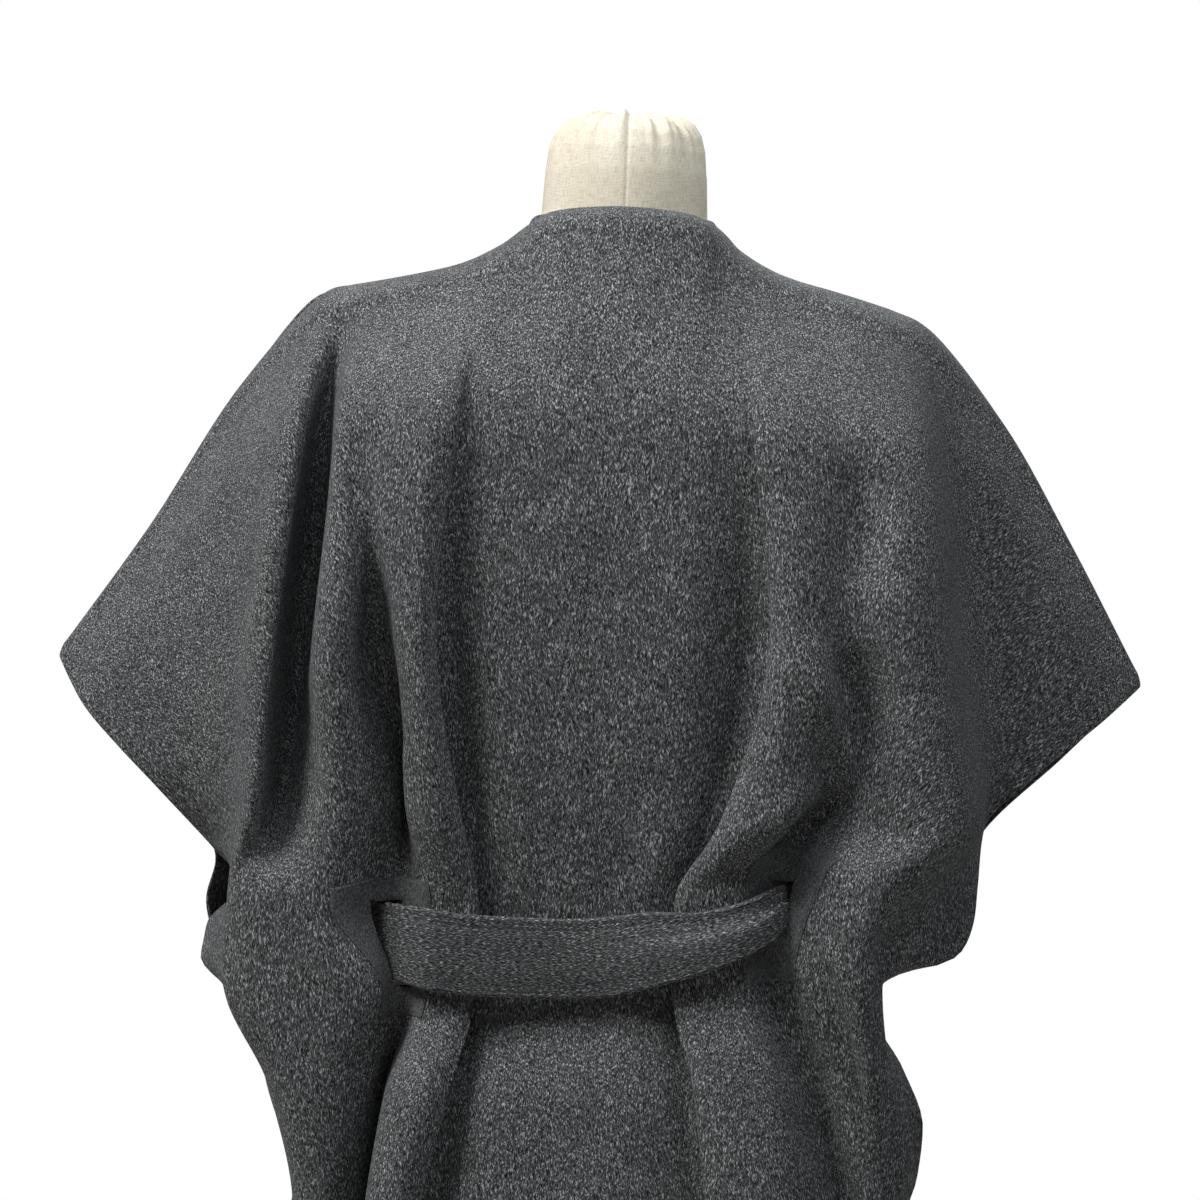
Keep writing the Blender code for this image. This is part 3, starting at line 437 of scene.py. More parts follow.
def crease(grid, normal, lines):
    # Each line is (depth, half width, points seen from the back or front as (x, z)), in millimetres
    flat = grid[..., (0, 2)]
    for depth, width, places in lines:
        places = np.array(places, float) * mm
        lengths = np.linalg.norm(np.diff(places, axis=0), axis=1)
        ends = np.concatenate([[0], np.cumsum(lengths)])
        nearest = np.full(flat.shape[:2], np.inf)
        where = np.zeros(flat.shape[:2])
        for k, (a, b) in enumerate(zip(places, places[1:])):
            t = np.clip(((flat - a) @ (b - a)) / (lengths[k] ** 2), 0, 1)
            gap = np.linalg.norm(flat - a - t[..., None] * (b - a), axis=-1)
            closer = gap < nearest
            nearest = np.where(closer, gap, nearest)
            where = np.where(closer, (ends[k] + t * lengths[k]) / ends[-1], where)
        inside = np.clip(where, coat["creaseEnds"], 1 - coat["creaseEnds"])
        taper = np.sin(np.pi * inside) ** coat["creaseTaper"]
        amount = depth * mm * np.exp(-((nearest / (width * mm)) ** 2)) * taper
        grid = grid + normal * amount[..., None]
    return grid


def unit(vectors):
    return vectors / np.maximum(np.linalg.norm(vectors, axis=-1, keepdims=True), 1e-12)


def roundCorner(grid):
    # Draws the wing's corner, at the top of the last column, in to a curve
    radius = coat["cornerRadius"]
    fromSide = alongCloth(grid[::-1], 0)[0][::-1]
    fromTop = alongCloth(grid, 0)[1]
    reach = np.stack([radius - fromSide, radius - fromTop], axis=-1)
    near = (reach > 0).all(axis=-1)
    pull = np.where(near, reach.max(axis=-1) / np.maximum(np.linalg.norm(reach, axis=-1), 1e-9) - 1, 0)
    shift = reach * pull[..., None]
    return grid + unit(np.gradient(grid, axis=0)) * shift[..., :1] - unit(np.gradient(grid, axis=1)) * shift[..., 1:]


def makePanel(columns, names, face, creases, slitDepths):
    isSlit = [{near, far} == {"innerLip", "outerLip"} for near, far in zip(names, names[1:])]
    steps = []
    for near, far in zip(columns, columns[1:]):
        longest = np.linalg.norm(far - near, axis=-1).max()
        steps.append(max(coat["fewestSteps"], math.ceil(longest / coat["columnStep"])))
    starts = [0, *np.cumsum(steps).tolist()]
    grid = clearOfForm(curveThrough(columns, steps), coat["formClearance"])
    seamRows = coat["seamGap"] / 2 + np.array([0, coat["flatStep"]])
    grid[:, :2, 1] = face * np.maximum(face * grid[:, :2, 1], seamRows)
    grid = crease(grid, outward(grid, face), creases)
    grid = roundCorner(clearOfForm(grid, coat["formClearance"] - coat["creaseInto"]))
    if names[0] == "wing":
        grid = roundCorner(grid[::-1])[::-1]
    slits = [range(starts[k], starts[k + 1]) for k, slit in enumerate(isSlit) if slit]
    holes = [(slit, range(slitTopRow + first, slitTopRow + last)) for slit, (first, last) in zip(slits, slitDepths)]
    ends = [starts[k] for k, name in enumerate(names) if name in ("patchNear", "patchFar")]
    start = starts[names.index("centre")] if "centre" in names else 0
    u, v = alongCloth(grid, start)
    uv = np.stack([u, -v], axis=-1)
    return panel(grid, outward(grid, face), uv, holes, list(zip(ends[0::2], ends[1::2])), face)


def backPanel(creases):
    leftHalf = halfPanel(topLeft, backLeft, backLeftSide, leftSide, backFace)
    rightHalf = halfPanel(topRight, backRight, backRightSide, rightSide, backFace)
    centre = foldColumn(topLeft, backCentre, leftSide, backFace)
    names = [*reversed(nameHalf(backRight)), "centre", *nameHalf(backLeft)]
    return makePanel([*reversed(rightHalf), centre, *leftHalf], names, backFace, creases, coat["backSlitRows"])


def frontPanel(topLine, folds, sideEdge, side, creases):
    columns = halfPanel(topLine, folds, sideEdge, side, frontFace)
    return makePanel(columns, nameHalf(folds), frontFace, creases, coat["frontSlitRows"])


# Making meshes. How far the cloth's pattern runs on round an edge, and where the inner face's starts
rimShift, innerShift = 0.0006, (0.7, 0.35)


def newObject(name, data):
    made = bpy.data.objects.new(name, data)
    bpy.context.scene.collection.objects.link(made)
    return made


def addPiece(name, vertices, faces, material, uv=None, replaced=()):
    mesh = bpy.data.meshes.new(name)
    mesh.from_pydata(np.asarray(vertices).tolist(), [], faces)
    mesh.materials.append(material)
    mesh.shade_smooth()
    if uv is not None:
        layer = mesh.uv_layers.new(name="cloth")
        corners = np.empty(len(mesh.loops), int)
        mesh.loops.foreach_get("vertex_index", corners)
        layer.data.foreach_set("uv", np.asarray(uv)[corners].ravel())
    piece = newObject(name, mesh)
    finishPiece(piece, replaced)
    return piece


def finishPiece(piece, replaced=()):
    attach(piece, "root")
    if replaced:
        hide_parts(*replaced)


def keptCells(grid, holes):
    cells = np.ones((grid.shape[0] - 1, grid.shape[1] - 1), bool)
    for columns, levels in holes:
        cells[columns.start : columns.stop, levels.start : levels.stop] = False
    return cells


def shellMesh(middle, normal, uv, thickness, holes=(), rimSteps=4):
    # A wall of even thickness on a grid, with round edges. holes are (columns, rows) of cells left out.
    count, rows = middle.shape[:2]
    index = np.arange(count * rows).reshape(count, rows)
    cells = keptCells(middle, holes)
    corners = [index[:-1, :-1], index[:-1, 1:], index[1:, 1:], index[1:, :-1]]
    quads = np.stack([corner[cells] for corner in corners], axis=1)
    places, facing, flat = middle.reshape(-1, 3), normal.reshape(-1, 3), uv.reshape(-1, 2)
    a, b, d = (places[quads[:, k]] for k in (0, 1, 3))
    if (np.cross(b - a, d - a) * facing[quads[:, 0]]).sum() < 0:
        quads = quads[:, ::-1]
    edges = np.concatenate([quads[:, (k, (k + 1) % 4)] for k in range(4)])
    total = count * rows
    keys = edges[:, 0] * total + edges[:, 1]
    rim = edges[~np.isin(keys, edges[:, 1] * total + edges[:, 0])]
    along = places[rim[:, 1]] - places[rim[:, 0]]
    along /= np.maximum(np.linalg.norm(along, axis=1, keepdims=True), 1e-9)
    away = np.zeros_like(places)
    for side in (0, 1):
        np.add.at(away, rim[:, side], np.cross(along, facing[rim[:, side]]))
    onRim = np.unique(rim)
    away[onRim] /= np.maximum(np.linalg.norm(away[onRim], axis=1, keepdims=True), 1e-9)
    place = np.full(total, -1)
    place[onRim] = np.arange(len(onRim))
    half = thickness / 2
    vertices, uvs = [places + facing * half], [flat]
    levels = [rim]
    for k in range(1, rimSteps):
        angle = math.pi * k / rimSteps
        bulge = np.cos(angle) * facing[onRim] + np.sin(angle) * away[onRim]
        levels.append(place[rim] + sum(len(part) for part in vertices))
        vertices.append(places[onRim] + bulge * half)
        uvs.append(flat[onRim] + rimShift * k)
    inner = sum(len(part) for part in vertices)
    levels.append(rim + inner)
    vertices.append(places - facing * half)
    uvs.append(flat + innerShift)
    faces = [quads, quads[:, ::-1] + inner]
    for near, far in zip(levels, levels[1:]):
        faces.append(np.stack([near[:, 1], near[:, 0], far[:, 0], far[:, 1]], axis=1))
    faces = np.concatenate(faces)
    used = np.unique(faces)
    renumber = np.zeros(faces.max() + 1, int)
    renumber[used] = np.arange(len(used))
    return np.concatenate(vertices)[used], renumber[faces].tolist(), np.concatenate(uvs)[used]


def surfaceArea(grid, holes):
    cells = keptCells(grid, holes)
    diagonals = np.cross(grid[1:, 1:] - grid[:-1, :-1], grid[:-1, 1:] - grid[1:, :-1])
    return float(np.linalg.norm(diagonals, axis=-1)[cells].sum() / 2)


# Materials


class Tree:
    # A material's nodes, with short calls to add and join them
    def __init__(self, name):
        self.material = bpy.data.materials.new(name)
        self.material.use_nodes = True
        self.nodes = self.material.node_tree.nodes
        self.links = self.material.node_tree.links
        self.shader = self.nodes["Principled BSDF"]

    def add(self, kind, inputs=None, **settings):
        node = self.nodes.new(kind)
        for name, value in settings.items():
            setattr(node, name, value)
        for name, value in (inputs or {}).items():
            if isinstance(value, bpy.types.NodeSocket):
                self.links.new(value, node.inputs[name])
            else:
                node.inputs[name].default_value = value
        return node

    def math(self, operation, a, b=0.0):
        return self.add("ShaderNodeMath", {0: a, 1: b}, operation=operation).outputs[0]

    def multiply(self, a, b):
        inputs = {0: 1.0, 6: a, 7: b}
        return self.add("ShaderNodeMix", inputs, data_type="RGBA", blend_type="MULTIPLY").outputs[2]

    def ramp(self, value, stops):
        node = self.add("ShaderNodeValToRGB", {"Fac": value})
        elements = node.color_ramp.elements
        while len(elements) < len(stops):
            elements.new(0.5)
        for element, (place, colour) in zip(elements, stops):
            element.position = place
            element.color = (*colour, 1)
        return node.outputs[0]

    def noise(self, vector, scale, detail=2.0, roughness=0.5):
        inputs = {"Vector": vector, "Scale": scale, "Detail": detail, "Roughness": roughness}
        return self.add("ShaderNodeTexNoise", inputs).outputs["Fac"]

    def mapping(self, vector, scale=(1, 1, 1), place=(0, 0, 0)):
        inputs = {"Vector": vector, "Scale": scale, "Location": place}
        return self.add("ShaderNodeMapping", inputs).outputs["Vector"]

    def turned(self, vector, angle):
        node = self.add("ShaderNodeVectorRotate", {"Vector": vector, "Angle": angle}, rotation_type="Y_AXIS")
        return node.outputs["Vector"]

    def between(self, value, low, high):
        inputs = {"Value": value, "From Min": low, "From Max": high}
        return self.add("ShaderNodeMapRange", inputs, interpolation_type="SMOOTHSTEP").outputs["Result"]

    def join(self, output, name):
        self.links.new(output, self.shader.inputs[name])

    def bump(self, height, strength, distance):
        inputs = {"Height": height, "Strength": strength, "Distance": distance}
        self.join(self.add("ShaderNodeBump", inputs).outputs["Normal"], "Normal")

    def finish(self, values):
        for name, value in values.items():
            self.shader.inputs[name].default_value = value
        return self.material


def grey(value, warm):
    return (value * (1 + warm), value * (1 + warm * 0.3), value * (1 - warm))


wool = {
    "fibreAcross": 0.0007,  # width and length of one brushed fibre's mark
    "fibreAlong": 0.0031,
    "turns": (0.04, 0.32, -0.28),
    "wingTurn": 0.72,  # on the wings the threads run square to the top seam
    "wingFrom": 0.13,
    "wingTo": 0.24,
    "wingLow": 0.96,  # that turn sets in between these heights
    "wingHigh": 1.06,
    "strayScale": 28.0,
    "stray": 0.9,
    "turnStep": 0.12,
    "shares": (0.62, 0.38),  # of the first two sets of marks together, and of the third
    "stops": (0.43, 0.52, 0.58, 0.66),
    "brighter": 1.9,  # the third stop is this many times as light as the second
    "dark": 0.007,
    "middle": 0.056,
    "light": 0.43,
    "bump": 0.8,
    "bumpDepth": 0.0012,
    "clouds": (34, 34, 20),  # the brushed face catches light in soft clouds a few centimetres wide
    "cloudTones": ((0.3, (0.90, 0.90, 0.91)), (0.7, (1.09, 1.09, 1.08))),
    "finish": {
        "Roughness": 0.92,
        "Specular IOR Level": 0.12,
        "Sheen Weight": 0.03,
        "Sheen Roughness": 0.45,
        "Sheen Tint": (0.75, 0.77, 0.8, 1),
    },
}
# The finer cloth of the patches
facing = {"fibreAcross": 0.0006, "fibreAlong": 0.0022, "dark": 0.030, "middle": 0.058, "light": 0.15, "bump": 0.3}


def threadsOnBody(tree):
    # Object coordinates, turned in small steps on the wings so that every mark keeps its true size
    place = tree.add("ShaderNodeTexCoord").outputs["Object"]
    parts = tree.add("ShaderNodeSeparateXYZ", {0: place}).outputs
    wing = tree.between(tree.math("ABSOLUTE", parts["X"]), wool["wingFrom"], wool["wingTo"])
    high = tree.between(parts["Z"], wool["wingLow"], wool["wingHigh"])
    side = tree.math("MULTIPLY", tree.math("SIGN", parts["X"]), -wool["wingTurn"])
    lean = tree.math("MULTIPLY", tree.math("MULTIPLY", wing, high), side)
    wander = tree.math("SUBTRACT", tree.noise(place, wool["strayScale"]), 0.5)
    stray = tree.math("MULTIPLY", wander, wool["stray"])
    angle = tree.math("SNAP", tree.math("ADD", lean, stray), wool["turnStep"])
    return place, angle


def threadsAlongBand(tree):
    cloth = tree.add("ShaderNodeUVMap", uv_map="cloth").outputs["UV"]
    parts = tree.add("ShaderNodeSeparateXYZ", {0: cloth}).outputs
    return tree.add("ShaderNodeCombineXYZ", {"X": parts["X"], "Z": parts["Y"]}).outputs[0], 0.0


def makeWool(name, threads, look):
    tree = Tree(name)
    place, angle = threads(tree)
    fine = 1 / look["fibreAcross"]
    marks = []
    for k, turn in enumerate(wool["turns"]):
        turned = tree.turned(place, tree.math("ADD", angle, turn))
        stretched = tree.mapping(turned, (fine, fine, 1 / look["fibreAlong"]), (37 * k, 11 * k, 5 * k))
        marks.append(tree.noise(stretched, 1.0, 1.6, 0.6))
    fibres = tree.math("MULTIPLY", tree.math("MAXIMUM", marks[0], marks[1]), wool["shares"][0])
    fibres = tree.math("ADD", fibres, tree.math("MULTIPLY", marks[2], wool["shares"][1]))
    middle = look["middle"]
    greys = (
        grey(look["dark"], 0.0),
        grey(middle, -0.015),
        grey(middle * wool["brighter"], -0.02),
        grey(look["light"], -0.02),
    )
    tone = tree.ramp(fibres, list(zip(wool["stops"], greys)))
    cloud = tree.noise(tree.mapping(place, wool["clouds"]), 1.0, 3.0)
    tree.join(tree.multiply(tone, tree.ramp(cloud, wool["cloudTones"])), "Base Color")
    tree.bump(fibres, look["bump"], wool["bumpDepth"])
    return tree.finish(wool["finish"])


linen = {
    "thread": 0.00052,
    "slub": 14,  # a thread's marks are this many times as long as they are wide
    # the threads' tones, darkest first: painted shade, the linen's own pale colour, and painted light, set by the
    # same marks that raise the bump
    "litAndShadedThreads": ((0.34, (0.43, 0.38, 0.295)), (0.52, (0.61, 0.555, 0.455)), (0.7, (0.68, 0.63, 0.54))),
    "age": (26, 18, 1),
    "ageTones": ((0.3, (0.93, 0.91, 0.87)), (0.65, (1, 1, 1))),
    "bump": (0.35, 0.0004),
    "finish": {"Roughness": 0.88, "Specular IOR Level": 0.2},
}


def makeLinen():
    tree = Tree("naturalLinen")
    cloth = tree.add("ShaderNodeUVMap", uv_map="cloth").outputs["UV"]
    step = 1 / linen["thread"]
    warp = tree.noise(tree.mapping(cloth, (step, step / linen["slub"], 1)), 1.0)
    weft = tree.noise(tree.mapping(cloth, (step / linen["slub"], step, 1), (3.1, 0, 0)), 1.0)
    threads = tree.math("MULTIPLY", tree.math("ADD", warp, weft), 0.5)
    age = tree.noise(tree.mapping(cloth, linen["age"]), 1.0, 3.0)
    # the linen's own pale colour with painted shade and painted light on its threads, mottled by the linen's age
    tone = tree.multiply(tree.ramp(threads, linen["litAndShadedThreads"]), tree.ramp(age, linen["ageTones"]))
    tree.join(tone, "Base Color")
    tree.bump(threads, *linen["bump"])
    return tree.finish(linen["finish"])


def makeThread(name, colour):
    tree = Tree(name)
    place = tree.add("ShaderNodeTexCoord").outputs["Object"]
    darker = tuple(part * 0.55 for part in colour)
    tree.join(tree.ramp(tree.noise(place, 2600.0, 1.0), [(0.35, darker), (0.65, colour)]), "Base Color")
    return tree.finish({"Roughness": 0.6})


def makeSteel():
    tree = Tree("greyPaintedSteel")
    place = tree.add("ShaderNodeTexCoord").outputs["Object"]
    worn = tree.noise(place, 14.0, 4.0)
    tree.join(tree.ramp(worn, [(0.35, (0.50, 0.50, 0.49)), (0.7, (0.57, 0.57, 0.56))]), "Base Color")
    tree.join(tree.ramp(worn, [(0.3, (0.34, 0.34, 0.34)), (0.7, (0.48, 0.48, 0.48))]), "Roughness")
    tree.bump(tree.noise(place, 900.0), 0.12, 0.0002)
    return tree.material


brushedWool = makeWool("charcoalWool", threadsOnBody, wool)
bandWool = makeWool("charcoalWoolAlong", threadsAlongBand, wool)
facingWool = makeWool("smoothGreyWool", threadsOnBody, facing)
linenCloth = makeLinen()
woolThread = makeThread("darkThread", (0.018, 0.019, 0.021))
linenThread = makeThread("linenThread", (0.42, 0.37, 0.29))
steel = makeSteel()
print("materials ready")


# Stitches: short threads laid along lines on the cloth


def makeStitchTree():
    tree = bpy.data.node_groups.new("stitchRow", "GeometryNodeTree")
    face = tree.interface
    face.new_socket("Geometry", in_out="INPUT", socket_type="NodeSocketGeometry")
    for name, value in (("Spacing", 0.0026), ("Length", 0.0018), ("Thickness", 0.0004)):
        face.new_socket(name, in_out="INPUT", socket_type="NodeSocketFloat").default_value = value
    face.new_socket("Seed", in_out="INPUT", socket_type="NodeSocketInt").default_value = 3
    face.new_socket("Thread", in_out="INPUT", socket_type="NodeSocketMaterial")
    face.new_socket("Geometry", in_out="OUTPUT", socket_type="NodeSocketGeometry")

    def add(kind, inputs=None, **settings):
        node = tree.nodes.new(kind)
        for name, value in settings.items():
            setattr(node, name, value)
        for name, value in (inputs or {}).items():
            node.inputs[name].default_value = value
        return node

    given, made = add("NodeGroupInput"), add("NodeGroupOutput")
    toCurve = add("GeometryNodeMeshToCurve")
    resample = add("GeometryNodeResampleCurve", mode="LENGTH")
    outwards = add("GeometryNodeInputNamedAttribute", {"Name": "outwards"}, data_type="FLOAT_VECTOR")
    tangent = add("GeometryNodeInputTangent")
    stand = add("FunctionNodeAlignRotationToVector", axis="Z")
    lie = add("FunctionNodeAlignRotationToVector", axis="X", pivot_axis="Z")
    ball = add("GeometryNodeMeshIcoSphere", {"Subdivisions": 1, "Radius": 0.5})
    size = add("ShaderNodeCombineXYZ")
    vary = add("FunctionNodeRandomValue", data_type="FLOAT")
    floats = [socket for socket in vary.inputs if socket.type == "VALUE"]
    floats[0].default_value, floats[1].default_value = 0.82, 1.12
    longer = add("ShaderNodeMath", operation="MULTIPLY")
    place = add("GeometryNodeInstanceOnPoints")
    realize = add("GeometryNodeRealizeInstances")
    smooth = add("GeometryNodeSetShadeSmooth")
    paint = add("GeometryNodeSetMaterial")
    for start, output, end, target in (
        (given, "Geometry", toCurve, 0),
        (toCurve, 0, resample, "Curve"),
        (given, "Spacing", resample, "Length"),
        (outwards, "Attribute", stand, "Vector"),
        (stand, 0, lie, "Rotation"),
        (tangent, 0, lie, "Vector"),
        (given, "Seed", vary, "Seed"),
        (given, "Length", longer, 1),
        (longer, 0, size, "X"),
        (given, "Thickness", size, "Y"),
        (given, "Thickness", size, "Z"),
        (resample, 0, place, "Points"),
        (ball, "Mesh", place, "Instance"),
        (lie, 0, place, "Rotation"),
        (size, 0, place, "Scale"),
        (place, 0, realize, 0),
        (realize, 0, smooth, 0),
        (smooth, 0, paint, "Geometry"),
        (given, "Thread", paint, "Material"),
        (paint, 0, made, 0),
    ):
        tree.links.new(start.outputs[output], end.inputs[target])
    varied = next(socket for socket in vary.outputs if socket.type == "VALUE")
    tree.links.new(varied, longer.inputs[0])
    return tree


stitchTree = makeStitchTree()


def sew(name, rows, thread, spacing, length, thickness, slotName="charcoal_wool"):
    # rows are (points, normals) of each stitched line
    points, normals, edges = [], [], []
    for line, facing in rows:
        edges += [(len(points) + k, len(points) + k + 1) for k in range(len(line) - 1)]
        points += np.asarray(line).tolist()
        normals += np.asarray(facing).tolist()
    mesh = bpy.data.meshes.new(name + "Path")
    mesh.from_pydata(points, edges, [])
    outwards = mesh.attributes.new("outwards", "FLOAT_VECTOR", "POINT")
    outwards.data.foreach_set("vector", np.array(normals).ravel())
    guide = newObject(name + "Path", mesh)
    rowModifier = guide.modifiers.new("stitches", "NODES")
    rowModifier.node_group = stitchTree
    values = {"Spacing": spacing, "Length": length, "Thickness": thickness, "Thread": thread}
    for item in stitchTree.interface.items_tree:
        if item.item_type == "SOCKET" and item.in_out == "INPUT" and item.name in values:
            rowModifier[item.identifier] = values[item.name]
    made = bpy.data.meshes.new_from_object(guide.evaluated_get(bpy.context.evaluated_depsgraph_get()))
    bpy.data.objects.remove(guide, do_unlink=True)
    made.name = name
    finishPiece(newObject(name, made))


def lineOn(part, columns, rows, lift):
    # Points over a panel's grid at fractional columns and rows, lifted off its middle surface
    columns, rows = np.asarray(columns, float), np.asarray(rows, float)
    c = np.clip(columns.astype(int), 0, part.grid.shape[0] - 2)
    r = np.clip(rows.astype(int), 0, part.grid.shape[1] - 2)
    s, t = (columns - c)[:, None], (rows - r)[:, None]

    def read(field):
        near = field[c, r] * (1 - t) + field[c, r + 1] * t
        far = field[c + 1, r] * (1 - t) + field[c + 1, r + 1] * t
        return near * (1 - s) + far * s

    normal = read(part.normal)
    normal /= np.linalg.norm(normal, axis=-1, keepdims=True)
    return read(part.grid) + normal * lift, normal


# The coat's panels

# Creases pressed into the back, after the photograph: (depth, half width, places), in millimetres
backCreases = [
    # the wearer's left: the bulge beside the wing's fold, the hollow inside it, and the panel beside the pleat
    (7, 13, [(156, 1232), (163, 1183), (171, 1114), (158, 1062)]),
    (-9, 12, [(146, 1190), (145, 1140), (137, 1096), (127, 1064)]),
    (-4, 15, [(98, 1268), (96, 1200), (93, 1120), (83, 1040), (74, 992)]),
    (4, 20, [(128, 1330), (122, 1270), (118, 1210)]),
    (5, 9, [(199, 1322), (206, 1235), (214, 1140), (219, 1030)]),
    (-7, 10, [(180, 1310), (189, 1220), (197, 1130), (205, 1050)]),
    # thin hollows that set off the pleats' edges
    (-3, 5, [(96, 1236), (97, 1160), (88, 1090), (76, 1030), (67, 986)]),
    (-3, 5, [(-82, 1240), (-92, 1150), (-80, 1080), (-62, 1020), (-46, 988)]),
    (-4, 5, [(68, 920), (78, 860), (92, 780), (108, 690)]),
    (-4, 5, [(-54, 920), (-62, 860), (-73, 780), (-84, 690)]),
    # the wearer's right: the wing's valley, two hollows beside the pleat, and its lobe over the slit
    (-8, 25, [(-196, 1336), (-214, 1290), (-234, 1240), (-246, 1165), (-262, 1098)]),
    (-8, 15, [(-148, 1270), (-155, 1226), (-150, 1182)]),
    (-11, 15, [(-150, 1154), (-161, 1117), (-167, 1072)]),
    (8, 13, [(-117, 1158), (-131, 1120), (-144, 1092), (-151, 1072)]),
    (6, 9, [(-149, 1078), (-118, 1050), (-98, 1026)]),
    (-10, 8, [(-156, 1062), (-128, 1035), (-108, 1012)]),
    (-6, 19, [(-68, 1292), (-75, 1237), (-84, 1163), (-76, 1090), (-60, 1036)]),
    # soft puckers over the belt
    (2.5, 13, [(24, 1086), (13, 1035), (6, 986)]),
    (-2, 11, [(-22, 1066), (-21, 1022), (-15, 984)]),
    (1.8, 10, [(-44, 1050), (-38, 1012), (-34, 986)]),
    (2, 16, [(60, 1120), (52, 1060), (44, 1000)]),
    # the skirt's gaps beside its strips
    (-11, 9, [(-137, 963), (-149, 925), (-161, 892), (-177, 845), (-190, 806), (-200, 750)]),
    (5, 13, [(-173, 902), (-187, 850), (-201, 800)]),
    (-5, 15, [(70, 914), (82, 860), (92, 800), (100, 700)]),
    (-4, 14, [(-46, 914), (-50, 860), (-56, 790), (-62, 690)]),
    (4, 30, [(6, 780), (14, 640), (18, 440)]),
    (-5, 26, [(52, 720), (60, 580), (66, 440)]),
    (-4, 24, [(-96, 690), (-108, 560), (-116, 440)]),
]
# The fronts' creases, like the back's in kind and uneven in the same way
frontLeftCreases = [
    (5, 14, [(152, 1226), (160, 1170), (166, 1106)]),
    (-7, 12, [(140, 1180), (138, 1120), (128, 1062)]),
    (-4, 16, [(80, 1250), (72, 1170), (64, 1090), (50, 1010)]),
    (3, 18, [(30, 1230), (20, 1120), (4, 1010)]),
    (3, 12, [(20, 1060), (8, 1010), (0, 980)]),
    (-6, 20, [(236, 1220), (248, 1150), (256, 1100)]),
    (-4, 20, [(20, 900), (26, 760), (30, 600), (32, 450)]),
    (5, 24, [(76, 860), (84, 700), (92, 460)]),
    (-6, 18, [(122, 880), (134, 740), (146, 520)]),
]
frontRightCreases = [
    (6, 13, [(-150, 1236), (-157, 1180), (-160, 1112)]),
    (-6, 13, [(-138, 1190), (-134, 1128), (-126, 1066)]),
    (-3, 18, [(-84, 1240), (-76, 1160), (-70, 1080)]),
    (-8, 22, [(-232, 1236), (-244, 1164), (-250, 1104)]),
    (3, 14, [(-30, 1080), (-26, 1024), (-22, 984)]),
    (4, 22, [(-66, 860), (-76, 690), (-84, 460)]),
    (-5, 18, [(-20, 880), (-24, 720), (-26, 480)]),
    (-5, 20, [(-130, 860), (-142, 720), (-152, 500)]),
]
backCloth = backPanel(backCreases)
leftCloth = frontPanel(topLeft, frontLeft, frontLeftSide, leftSide, frontLeftCreases)
rightCloth = frontPanel(topRight, frontRight, frontRightSide, rightSide, frontRightCreases)


def makeCloth(name, part, replaced):
    vertices, faces, uv = shellMesh(part.grid, part.normal, part.uv, coat["cloth"], part.holes)
    piece = addPiece(name, vertices, faces, brushedWool, uv, [replaced])


makeCloth("backPanel", backCloth, "back")
makeCloth("leftFrontPanel", leftCloth, "front_left")
makeCloth("rightFrontPanel", rightCloth, "front_right")
print("panels made")

patch = {
    "cloth": 0.0008,
    "lift": 0.0003,
    "narrow": 0.55,  # how far its outer side draws in below the slit
    "slope": 0.5,  # how steeply its top slopes down on that side
    "stitch": (0.0021, 0.0016, 0.00035),  # spacing, length and thickness
    "stitchPoints": 24,
    "outerInset": 0.6,  # in cells of the cloth, in from the outline and out from the slit
    "slitInset": -0.5,
}


def makePatch(name, part, which, replaced):
    first, last = part.patches[which]
    slit, slitRows = part.holes[which]
    lift = coat["cloth"] / 2 + patch["lift"]

    def shape(columns, rows):
        columns, rows = np.asarray(columns, float), np.asarray(rows, float)
        down = smoothStep(rows, slitTopRow, patchBottomRow)
        outer = part.grid[last, patchTopRow, 0] ** 2 > part.grid[first, patchTopRow, 0] ** 2
        edge, way = (slit.stop, 1) if outer else (slit.start, -1)
        past = np.maximum((columns - edge) * way, 0)
        share = past / abs((last if outer else first) - edge)
        lower = np.maximum(slitTopRow - rows, 0) * patch["slope"] * share
        return columns - past * way * patch["narrow"] * down, rows + lower

    columns, rows = np.meshgrid(
        np.arange(first, last + 1), np.arange(patchTopRow, patchBottomRow + 1), indexing="ij"
    )
    across, down = shape(columns.ravel(), rows.ravel())
    middle, normal = (field.reshape(*columns.shape, 3) for field in lineOn(part, across, down, lift))
    inSlit = range(slit.start - first, slit.stop - first)
    holes = [(inSlit, range(slitRows.start - patchTopRow, slitRows.stop - patchTopRow))]
    uv = part.uv[first : last + 1, patchTopRow : patchBottomRow + 1]
    vertices, faces, uv = shellMesh(middle, normal, uv, patch["cloth"], holes, 3)
    piece = addPiece(name, vertices, faces, facingWool, uv, [replaced])
    area = surfaceArea(middle, holes)
    # one line of stitches round the outside and one round the slit
    rise = lift + patch["cloth"] / 2
    rowsOfThread = []
    for left, right, top, bottom, way in (
        (first, last, patchTopRow, patchBottomRow, patch["outerInset"]),
        (slit.start, slit.stop, slitRows.start, slitRows.stop, patch["slitInset"]),
    ):
        left, right, top, bottom = left + way, right - way, top + way, bottom - way
        corners = [(left, top), (right, top), (right, bottom), (left, bottom), (left, top)]
        columns, levels = [], []
        for (c1, r1), (c2, r2) in zip(corners, corners[1:]):
            share = np.linspace(0, 1, patch["stitchPoints"])
            columns += (c1 + (c2 - c1) * share).tolist()
            levels += (r1 + (r2 - r1) * share).tolist()
        rowsOfThread.append(lineOn(part, *shape(columns, levels), rise))
    sew(name + "Stitches", rowsOfThread, woolThread, *patch["stitch"], "smooth_grey_wool")


makePatch("backRightPatch", backCloth, 0, "patch_back_right")
makePatch("backLeftPatch", backCloth, 1, "patch_back_left")
makePatch("frontLeftPatch", leftCloth, 0, "patch_front_left")
makePatch("frontRightPatch", rightCloth, 0, "patch_front_right")

